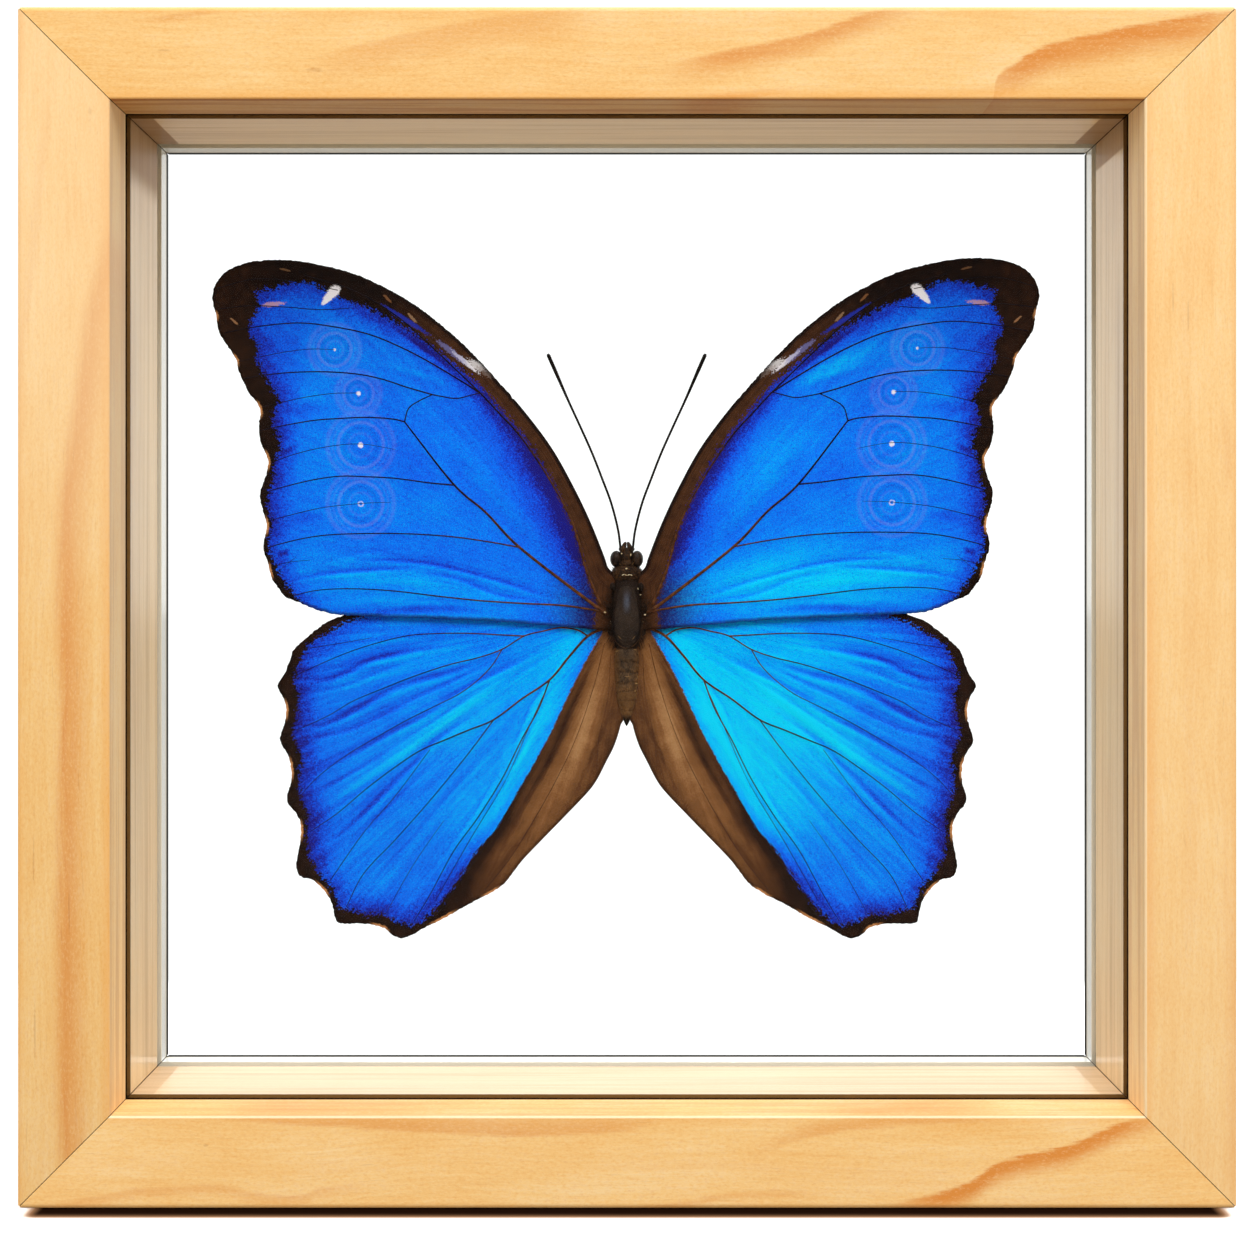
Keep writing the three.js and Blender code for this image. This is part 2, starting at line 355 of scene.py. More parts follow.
def flame_shape(s, side, bar, points, soft, strength):
    """One flame: sharp on its line, and fading over its soft side and towards its ends."""
    gap = (bar.across - s.curve(bar.along, points)) * (1 if soft > 0 else -1)
    gap = gap + (bar.fibres - 0.5) * 1.7 + (bar.peel - 0.5) * 0.9
    soft = abs(soft)
    low, high = min(p[0] for p in points), max(p[0] for p in points)
    fade = min(8.0, (high - low) / 3)
    blur = 0.45 if side in FLAT_SIDES else 1.5
    shape = s.step(gap, -blur, blur) * s.step(gap, soft, soft * 0.16)
    shape = shape * s.step(bar.along, low - fade, low + fade)
    shape = shape * s.step(bar.along, high + fade, high - fade)
    return shape * (bar.streaks * 0.6 + bar.fibres * 0.8 + 0.27) * strength


def plain_wood(s, side, seed, bar, flames, flecks):
    """The wood's own colour, before what each kind of bar adds."""
    # Growth rings, cut almost flat: the field's level lines run along the bar and wander across it.
    rings = s.math("PINGPONG", bar.wavy * 0.16 + bar.depth * 0.21 + bar.streaks * 1.6 + seed, 1)
    dark = s.step(rings, 0.62, 1.0) * 0.16 + s.step(bar.streaks, 0.5, 0.78) * 0.34
    near_front = s.step(bar.back, 34, 6) * 0.8 + 0.2
    wood = s.ramp(
        bar.mottle * 0.3 + bar.fibres * 0.22 + bar.streaks * 0.16 + bar.peel * 0.32,
        (0.34, PINE_WARM),
        (0.5, PINE),
        (0.66, PINE_PALE),
    )
    wood = s.mix(dark, wood, PINE_WARM)
    if flames:
        figure = s.most(*(flame_shape(s, side, bar, *flame) for flame in flames))
        wood = s.mix(s.clamp(figure * 1.15) * near_front, wood, PINE_FLAME)
    ticked = s.step(bar.ticks, 0.6, 0.8) * 0.14 + s.step(bar.peel, 0.52, 0.72) * 0.2
    wood = s.mix(ticked, wood, PINE_FLAME)
    speckle = s.noise(s.vector(bar.along * 1.7, bar.across * 3.4, bar.depth * 3.4), 1, 2, 0.6)
    wood = s.mix(s.step(speckle, 0.5, 0.74) * 0.22, wood, PINE_FLAME)
    wood = s.mix(s.step(speckle, 0.5, 0.26) * 0.26, wood, PINE_PALE)
    pores = s.noise(s.vector(bar.along * 0.22, bar.wavy * 5.2, bar.depth * 5.2 + seed), 1, 0)
    wood = s.mix(s.step(pores, 0.76, 0.84) * 0.16, wood, PINE_FLECK)
    for u, v, length, width in flecks:
        reach = s.math("POWER", abs(bar.along - u) / (length / 2), 2)
        reach = reach + s.math("POWER", abs(bar.across - v) / (width / 2), 2)
        reach = reach + (bar.ticks + bar.peel - 1) * 3.4
        wood = s.mix(s.step(reach, 2.0, 0.0) * near_front * 0.26, wood, PINE_FLECK)
    return wood


def rail_wood(s, side, seed, bar, wood):
    """Warmer varnish along both edges of the face and brown fibres on the lip behind it, with painted shade
    on the lips and the upper face, painted light on the side lips and a painted highlight on the rounded
    inner edge.
    """
    lip = s.step(bar.inward, FACE - 0.08, FACE - 0.03)
    wander = bar.mottle - 0.5
    inner_rim = s.step(bar.inward + wander * 1.6, 13.4, 15.2) * 0.42
    outer_rim = s.step(bar.inward + wander, 1.5, 0.3) * 0.3
    rim = (inner_rim + outer_rim) * (1 - lip) * RIM_SHARE[side]
    wood = s.mix(rim, wood, srgb(246, 172, 82))
    grain = s.noise(s.vector(bar.along * 0.016, seed, bar.depth * 0.55), 1, 4, 0.65)
    wood = s.mix(lip * s.step(grain, 0.44, 0.62) * LIP_GRAIN[side], wood, srgb(196, 124, 60))
    # A painted shade line along the lip, just behind the face.
    lip_shade_line = s.band(bar.back + wander * 1.5, 0.5, 1.1) * LIP_SHADE_LINE[side]
    wood = s.mix(lip * lip_shade_line, wood, srgb(176, 100, 36))
    if side in ("bottom", "right"):
        # A painted highlight of the varnish along the rounded edge between the face and the lip.
        painted_shine = s.band(bar.inward, 15.3, 0.3) * s.step(bar.back, 0.7, 0.4) * 0.7
        wood = s.mix(painted_shine, wood, srgb(255, 240, 204))
    shade = RAIL_SHADE[side]
    wood = s.mix(shade if side in FLAT_SIDES else shade * (1 - lip), wood, BLACK)
    # Painted shade on the lip: strong under the top rail, faint on the bottom one.
    if side in FLAT_SIDES:
        wood = s.mix(lip * (0.36 if side == "top" else 0.04), wood, srgb(132, 70, 24))
    else:
        pale = s.step(bar.height, 80, 150) * 0.3 if side == "left" else 0.15
        wood = s.mix(pale, wood, srgb(250, 222, 184))
        # The side lips are painted paler: painted light in place of the sheen of a coat that they nearly
        # lack.
        wood = s.mix(lip * 0.3, wood, srgb(255, 232, 184))
    if side == "top":
        # The upper face is painted darker: painted shade against the strong light from above.
        wood = s.mix(s.step(bar.inward, 0.12, 0.04) * 0.8, wood, srgb(178, 137, 84))
    return wood, 0.18 - lip * 0.16


def spacer_wood(s, side, seed, bar, wood):
    """Paler wood, partly painted light, with soft lines, painted shade at the ends in the corners, and a
    painted shadow on the front end in the groove behind the glass.
    """
    share, tone = SPACER_TONE[side]
    wood = s.mix(share, wood, tone)
    lines = s.noise(s.vector(bar.along * 0.012, bar.across * 0.2 + seed, bar.depth * 0.6), 1, 5, 0.62)
    wood = s.mix(s.step(lines, 0.4, 0.8) * 0.5, wood, srgb(182, 132, 76))
    from_middle = abs(bar.along - (0 if side in FLAT_SIDES else FRAME_HEIGHT / 2))
    # Painted shade at the ends, in the corners where the bars meet.
    ends = s.step(from_middle, *SPACER_SHADE_ENDS[side])
    if side not in FLAT_SIDES:
        ends = ends * s.step(bar.height, 90, 110)
    wood = s.mix(ends * END_SHADE_SHARE[side], wood, srgb(128, 78, 30))
    # The front end, seen through the glass in the groove, is a painted shadow, darkest at its outer part.
    groove_shadow_split = s.step(bar.inward + (bar.peel - 0.5) * 0.1, 14.86, 14.98)
    shaded_front_end = s.mix(groove_shadow_split, srgb(38, 20, 8), srgb(126, 90, 46))
    return s.mix(s.step(bar.back, 12.62, 12.5), wood, shaded_front_end), 0.75 - ends * 0.6


def strip_wood(s, bar, wood):
    """A near-white inner face, a painted highlight of the bright back, with a painted shade line at its end.
    The ends and the back keep the bare wood.
    """
    # The near-white inner face is a painted highlight of the bright back.
    pale = s.mix((bar.peel - 0.3) * 0.5, srgb(255, 255, 252), srgb(244, 236, 220))
    inner = s.mix(s.step(bar.back, 35.4, 35.8), pale, srgb(250, 242, 226))
    face = s.step(bar.inward, 15.3, 15.42)
    # A painted shade line at the rear edge of the inner face.
    end_shade_line = s.step(bar.back, 36.3, 36.5) * face
    inner = s.mix(face, wood, s.mix(end_shade_line, inner, srgb(30, 22, 14)))
    # The front face, seen in the groove, is painted dark at its outer part as shade and pale on the rest as
    # painted light.
    front = s.mix(s.step(bar.inward, 14.6, 14.7), srgb(104, 70, 36), srgb(252, 240, 220))
    return s.mix(s.step(bar.back, 33.22, 33.1), inner, front), face - end_shade_line


def pine(name, side, seed, kind, flames=(), flecks=()):
    """Varnished pine with its grain along the bar, and with placed flames and flecks near the front."""
    s = Shader(name)
    bar = bar_wires(s, side, seed)
    wood = plain_wood(s, side, seed, bar, flames, flecks)
    if kind == "rail":
        wood, coat = rail_wood(s, side, seed, bar, wood)
    elif kind == "spacer":
        wood, coat = spacer_wood(s, side, seed, bar, wood)
    else:
        wood, coat = strip_wood(s, bar, wood)
    coat_roughness, coat_ior = COAT[kind]
    height = bar.fibres * 0.35 + bar.ticks * 0.15 + bar.peel * 0.5
    return s.surface(
        Base_Color=wood,
        Roughness=s.clamp(bar.fibres * 0.14 + 0.44),
        Normal=s.bump(height, 0.09, 0.6),
        Coat_Weight=coat,
        Coat_Roughness=coat_roughness,
        Coat_IOR=coat_ior,
        Specular_IOR_Level=0.15,
    )


def smooth_edges(piece, width):
    """Welds the imported facets, then rounds and shades the sharp edges. The mesh itself stays as it is."""
    weld = piece.modifiers.new("weld", "WELD")
    weld.merge_threshold = 2e-6
    bevel = piece.modifiers.new("soft edges", "BEVEL")
    bevel.width = width * MM
    bevel.segments = 2
    bevel.limit_method = "ANGLE"
    bevel.angle_limit = math.radians(34)
    bevel.harden_normals = False
    normals = piece.modifiers.new("flat faces", "WEIGHTED_NORMAL")
    normals.weight = 100


def paint(piece, material):
    piece.data.materials.clear()
    piece.data.materials.append(material)


SIDES = ("bottom", "top", "left", "right")
for number, side in enumerate(SIDES):
    figure = (RAIL_FLAMES[side], RAIL_FLECKS[side])
    woods = {
        "rail": pine(f"pine_rail_{side}", side, 3.7 * number + 1, "rail", *figure),
        "spacer": pine(f"pine_spacer_{side}", side, 5.3 * number + 11, "spacer"),
        "rear_strip": pine(f"pine_strip_{side}", side, 4.1 * number + 7, "strip"),
    }
    for kind, rounding in (("rail", 0.05), ("spacer", 0.16), ("rear_strip", 0.1)):
        paint(nodes[f"{kind}_{side}"], woods[kind])
        smooth_edges(nodes[f"{kind}_{side}"], rounding)


# ---- Glass ----
def clear_glass():
    """Clear glass whose reflection grows towards grazing angles, the same on both faces of a pane."""
    s = Shader("clear_glass")
    facing = s.node("LayerWeight", {"Blend": 0.5}, out="Facing")
    gloss = s.math("POWER", facing, 5) * 0.9 + 0.004
    through = s.node("BsdfTransparent", {"Color": (0.993, 0.998, 0.996, 1)})
    mirror = s.node("BsdfGlossy", {"Roughness": 0.02})
    return s.output(s.node("MixShader", {0: gloss, 1: through, 2: mirror}))


glass = clear_glass()
for name in ("front_glass", "back_glass"):
    paint(nodes[name], glass)


# ---- Mesh building ----
def make_piece(name, verts, faces, materials, face_material=None, smooth=True):
    """A piece of the object from points in millimetres, riding on the frame's one body."""
    mesh = bpy.data.meshes.new(name)
    mesh.from_pydata((np.asarray(verts) * MM).tolist(), [], faces)
    for material in materials:
        mesh.materials.append(material)
    if face_material is not None:
        mesh.polygons.foreach_set("material_index", face_material)
    mesh.polygons.foreach_set("use_smooth", [smooth] * len(mesh.polygons))
    mesh.update()
    piece = bpy.data.objects.new(name, mesh)
    bpy.context.scene.collection.objects.link(piece)
    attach(piece, "root")
    return piece


def keep_numbers(piece, **fields):
    """Stores a number or a vector at each vertex, for the materials to read."""
    for name, values in fields.items():
        vector = values.ndim == 2
        kind = "FLOAT_VECTOR" if vector else "FLOAT"
        attribute = piece.data.attributes.new(name, kind, "POINT")
        attribute.data.foreach_set("vector" if vector else "value", values.astype(np.float32).ravel())


def smooth_line(points, spacing, closed=False):
    """Points this far apart on a Catmull-Rom curve through the given ones."""
    p = np.array(points, float)
    ring = np.vstack([p[-1], p, p[:2]]) if closed else np.vstack([2 * p[0] - p[1], p, 2 * p[-1] - p[-2]])
    t = np.linspace(0, 1, 12, endpoint=False)[:, None]
    found = []
    for a, b, c, d in zip(ring, ring[1:], ring[2:], ring[3:]):
        square, cube = 2 * a - 5 * b + 4 * c - d, 3 * b - a - 3 * c + d
        found.append(0.5 * (2 * b + (c - a) * t + square * t**2 + cube * t**3))
    line = np.vstack(found + [p[:1] if closed else p[-1:]])
    along = np.concatenate([[0], np.cumsum(np.linalg.norm(np.diff(line, axis=0), axis=1))])
    count = max(3, int(round(along[-1] / spacing)) + 1)
    at = np.linspace(0, along[-1], count)
    if closed:
        at = at[:-1]
    return np.stack([np.interp(at, along, line[:, k]) for k in range(p.shape[1])], axis=1)


def distance_to(points, line, closed=False):
    """How far each point is from a line."""
    a = np.array(line, float)
    b = np.roll(a, -1, axis=0) if closed else a[1:]
    a = a if closed else a[:-1]
    step = b - a
    gap = points[:, None] - a
    share = np.clip((gap * step).sum(-1) / (step**2).sum(-1), 0, 1)
    gap -= share[..., None] * step
    return np.sqrt((gap**2).sum(-1).min(1))


def inside(points, ring):
    a, b = np.array(ring, float), np.roll(np.array(ring, float), -1, axis=0)
    x, z = points[:, :1], points[:, 1:]
    crosses = (a[:, 1] > z) != (b[:, 1] > z)
    rise = np.where(b[:, 1] == a[:, 1], 1e-9, b[:, 1] - a[:, 1])
    return (crosses & (x < a[:, 0] + (z - a[:, 1]) * (b[:, 0] - a[:, 0]) / rise)).sum(1) % 2 == 1


def signed_distance(points, ring):
    """Distance to a closed line, positive inside it."""
    return np.where(inside(points, ring), 1, -1) * distance_to(points, ring, closed=True)


def tube(points, radii, sides=8, flat=1.0):
    """Vertices and faces of a closed tapered tube. flat squeezes it along Y."""
    p, radii = np.asarray(points, float), np.asarray(radii, float)
    ahead = np.gradient(p, axis=0)
    ahead /= np.linalg.norm(ahead, axis=1)[:, None]
    up = np.array([0.0, 1.0, 0.0]) if abs(ahead[0][1]) < 0.8 else np.array([1.0, 0.0, 0.0])
    verts, faces = [], []
    turn = np.linspace(0, 2 * np.pi, sides, endpoint=False)
    for here, forward, radius in zip(p, ahead, radii):
        up = up - forward * (up @ forward)
        up /= np.linalg.norm(up)
        side = np.cross(forward, up)
        ring = np.outer(np.cos(turn), side) + np.outer(np.sin(turn), up) * flat
        verts.append(here + ring * radius)
    verts = np.vstack(verts)
    rows = len(p)
    for i in range(rows - 1):
        for k in range(sides):
            a, b = i * sides + k, i * sides + (k + 1) % sides
            faces.append((a, a + sides, b + sides, b))
    faces.append(tuple(range(sides)))
    faces.append(tuple(reversed(range((rows - 1) * sides, rows * sides))))
    return verts, faces


def joined(parts):
    """One mesh from several (vertices, faces)."""
    verts, faces, base = [], [], 0
    for v, f in parts:
        verts.append(np.asarray(v, float))
        faces += [tuple(i + base for i in face) for face in f]
        base += len(v)
    return np.vstack(verts), faces


# ---- Glue in the mitres ----
def mitre_glue():
    """Thin films of dark dried glue that close the mitres, drawn as (depth from the front, distance in)."""
    sections = [
        [(0.07, 0.9), (0.5, 0.4), (37.6, 0.4), (37.9, 0.9), (37.9, 11.4), (9.3, 11.4), (9.3, 15.3),
            (0.2, 15.4), (0.07, 15.1)],
        [(12.6, 12.0), (29.8, 12.0), (29.8, 15.35), (12.6, 15.35)],
        [(33.2, 12.0), (37.8, 12.0), (37.8, 15.35), (33.2, 15.35)],
    ]
    parts = []
    for side_x in (-1, 1):
        for side_z in (-1, 1):
            for section in sections:
                verts = []
                for way in (-0.054, 0.054):
                    for depth, inward in section:
                        x = side_x * (FRAME_WIDTH / 2 - inward + way * 0.707)
                        z = FRAME_HEIGHT / 2 + side_z * (FRAME_HEIGHT / 2 - inward - way * 0.707)
                        verts.append((x, FRONT_Y + depth, z))
                n = len(section)
                faces = [tuple(range(n)), tuple(reversed(range(n, 2 * n)))]
                faces += [(i, i + n, (i + 1) % n + n, (i + 1) % n) for i in range(n)]
                if side_x * side_z > 0:
                    faces = [f[::-1] for f in faces]
                parts.append((verts, faces))
    glue = dark_brown("dried_glue", srgb(16, 9, 4), srgb(48, 28, 14), 0.6)
    films = make_piece("mitre_glue", *joined(parts), [glue], smooth=False)


# ---- Wings: markings ----
# All places are [x, z] in millimetres from the middle of the thorax, on the +X side's wing.
FOREWING = {
    "veins": {
        "cubitus": ([(3.6, -0.6), (7.2, 1.9), (19.3, 11.3), (25.4, 17.6), (31.2, 22.7), (40, 33.9)],
            0.62, 0.3),
        "lower_cross": ([(40, 33.9), (39.3, 36.3), (37.5, 37.6), (35, 38.8)], 0.24, 0.22),
        "upper_cross": ([(35, 38.8), (30.9, 38.1), (28.4, 38.6), (26.4, 39.1)], 0.2, 0.22),
        "radius": ([(4.6, 0.9), (7.2, 7), (9.7, 15.6), (13.7, 23.2), (18.8, 30.8), (23.3, 35.8),
            (26.4, 39.1), (31.4, 43.9), (36.5, 48.7), (41.5, 53), (49, 57.5), (58, 60.3)], 0.5, 0.22),
        "radius_5": ([(26.4, 39.1), (30.4, 41.6), (36.5, 45.2), (41.5, 47.7), (46.6, 49.7), (52.7, 51),
            (59.2, 51.7), (66.8, 51), (72.4, 49.9)], 0.3, 0.22),
        "radius_4": ([(49.5, 54.4), (55, 54.1), (62, 54.6), (68, 54.8), (73.4, 54.2)], 0.12, 0.2),
        "radius_3": ([(52, 57.6), (60, 59.2), (67, 59.6), (73.6, 58)], 0.14, 0.18),
        "media_1": ([(35, 38.8), (39.5, 40.1), (44.1, 41.6), (48.6, 42.5), (54.2, 42.9), (60.3, 42.8),
            (65.3, 42.3), (69.4, 41.6)], 0.24, 0.22),
        "media_3": ([(40, 33.9), (42.1, 34.4), (46.6, 34.7), (51.7, 34.5), (56.7, 34.1), (62.8, 33),
            (66.1, 32.3)], 0.24, 0.22),
        "cubital_1": ([(31.2, 22.5), (35.5, 22.9), (41.5, 23.7), (46.6, 24), (51.7, 24.1), (56.7, 23.4),
            (62.8, 21.9), (65.6, 20.9)], 0.26, 0.2),
        "cubital_2": ([(19.3, 11.3), (24.9, 12.3), (31.4, 13.2), (38.5, 13.7), (45.6, 13.8), (52.7, 13.6),
            (57.7, 13), (62.8, 11.8), (65.2, 11)], 0.26, 0.2),
        "anal": ([(4.1, -0.3), (11.2, 0.8), (18.8, 1.2), (26.4, 1.7), (34, 2.5), (41.5, 3.4), (47.6, 3.8),
            (52.7, 3.8), (56.7, 3.4), (60.3, 2.5)], 0.42, 0.16),
        "margin_1": ([(52.6, 46.9), (57, 47), (62, 46.4), (67, 45.4), (70.6, 44.6)], 0.08, 0.14),
        "margin_2": ([(48.5, 39.1), (53, 39), (58, 38.3), (62.5, 37.3), (66.4, 36.3)], 0.08, 0.16),
        "margin_3": ([(41.6, 28.9), (47.9, 29.9), (54, 29.4), (60, 28), (64.9, 26.2)], 0.05, 0.16),
        "margin_4": ([(42.5, 19.4), (47.9, 19.2), (55, 18.4), (61, 17), (65, 15.9)], 0.05, 0.16),
        "margin_5": ([(57, 9), (61, 8.6), (64.6, 7.6)], 0.06, 0.12),
        "margin_6": ([(59.5, 9.6), (62.4, 7.2), (63.6, 5.6)], 0.05, 0.1),
    },
    "blue": [
        (7.2, 6), (9.5, 14), (13, 22.5), (18, 30.5), (26, 40), (31.4, 44.5), (38.5, 50), (46.6, 54.3),
        (50.6, 55.8),
        (53.4, 56.9), (56.5, 58.8), (60.3, 58.8), (66.6, 57.1), (66.1, 54.5), (67.6, 52), (67.8, 50),
        (66.3, 47.7), (66.6, 44.9),
        (65.1, 42.4), (63.3, 39.4), (62.3, 37.8), (63.3, 36.3), (63.5, 33.3), (62.5, 31.3), (62.3, 29),
        (63.3, 26.7),
        (63.5, 23.2), (64.3, 21.7), (64.6, 18.6), (63.8, 16.1), (64.3, 13.1), (64.3, 10.5), (63.3, 8.5),
        (61.8, 5.5),
        (59.5, 2.5), (56, -3), (50, -8), (7, -8), (6, -3), (5.6, 1.5),
    ],
    # Soft patches of colour: x, z, half length, half width, turn in degrees, how much nearer to cyan.
    "glows": [
        (34, 3.5, 21, 4.2, 4, 0.18), (50, 8, 12, 3.6, 0, 0.1), (33, 16.5, 15, 5, 20, 0.1),
        (33, 31, 9, 4, 50, 0.06),
        (24, 24, 13, 8, 52, 0.0), (12, 13, 10, 3.6, 66, -0.2), (19, 27, 13, 3.6, 52, -0.14),
        (64, 30, 5, 26, 0, -0.16),
        (58, 55, 12, 5, -10, -0.04), (40, 50, 9, 2.0, 36, -0.14),
        # The first patch on the next line is painted light, against the shade that the frame's sides cast on
        # the outer wing.
        (55, 30, 8, 24, 0, 0.12), (44, 46, 10, 5, 20, 0.06),
    ],
    # On the right wings only: painted light, as light falls on them more.
    "right_painted_light": [
        (30, 5.5, 24, 5.5, 5, 0.3), (28, 9, 12, 3, 24, 0.12), (25, 27, 12, 5, 50, 0.16),
        (37, 43.6, 9, 1.5, 24, 0.26), (42, 29, 8, 4, 0, 0.08), (16, 20, 15, 3, 58, 0.14),
    ],
    # Folds and light rays: points, half width, how much nearer to cyan, which is painted shade where it is
    # negative and a painted highlight where it is positive, depth of the fold in millimetres.
    "folds": [
        ([(61.5, 5.1), (54.7, 6.6), (45, 7.4), (36.5, 7.6)], 0.42, -0.34, 0.14),
        ([(50, 8.8), (43, 9), (35.9, 8.5), (27.7, 6.7), (21.7, 5), (12.7, 2)], 0.4, -0.3, 0.12),
        ([(37, 6.9), (30, 5.6), (23.2, 2.9), (14, 1.4)], 0.38, -0.24, 0.1),
        ([(57, 7.9), (48, 10.4), (38, 10.6)], 0.35, -0.12, 0.06),
        ([(48, 5.4), (38, 5.2), (28, 3.4)], 0.8, 0.12, -0.05),
        ([(57, 0.9), (44, 1.6), (30, 0.2), (16, -1.2)], 1.2, 0.1, -0.05),
        ([(46, -0.2), (34, 0.3), (22, -0.6)], 0.7, -0.3, 0.08),
        ([(43, 51.5), (36, 46.8), (30.5, 42.4)], 0.5, -0.28, 0.1),
        ([(45, 44.6), (38, 42.8), (31, 40.3)], 0.7, 0.12, -0.05),
        ([(59, 29.6), (63, 27.6)], 0.8, -0.2, 0.08),
        ([(54, 17), (62, 16)], 1.2, -0.16, 0.05),
        ([(53, 36.5), (62, 35.6)], 1.4, -0.14, 0.05),
        ([(33, 33), (24, 22.5), (14, 11)], 1.6, 0.06, -0.1),
        ([(60, 10.6), (63.5, 9.8)], 0.6, -0.3, 0.08),
    ],
    "spots": [(52.6, 46.9, 0.2, 3.0, 4.6), (48.3, 39.0, 0.36, 2.7, 4.0), (47.9, 29.7, 0.44, 4.1, 6.0),
        (47.9, 19.1, 0.3, 4.0, 6.0)],
    "notches": [(74.0, 53, 0.8), (70.6, 45, 1.1), (66.3, 36.2, 1.4), (64.8, 27, 1.6), (64.9, 15.2, 1.5),
        (64.3, 7, 1.3)],
}
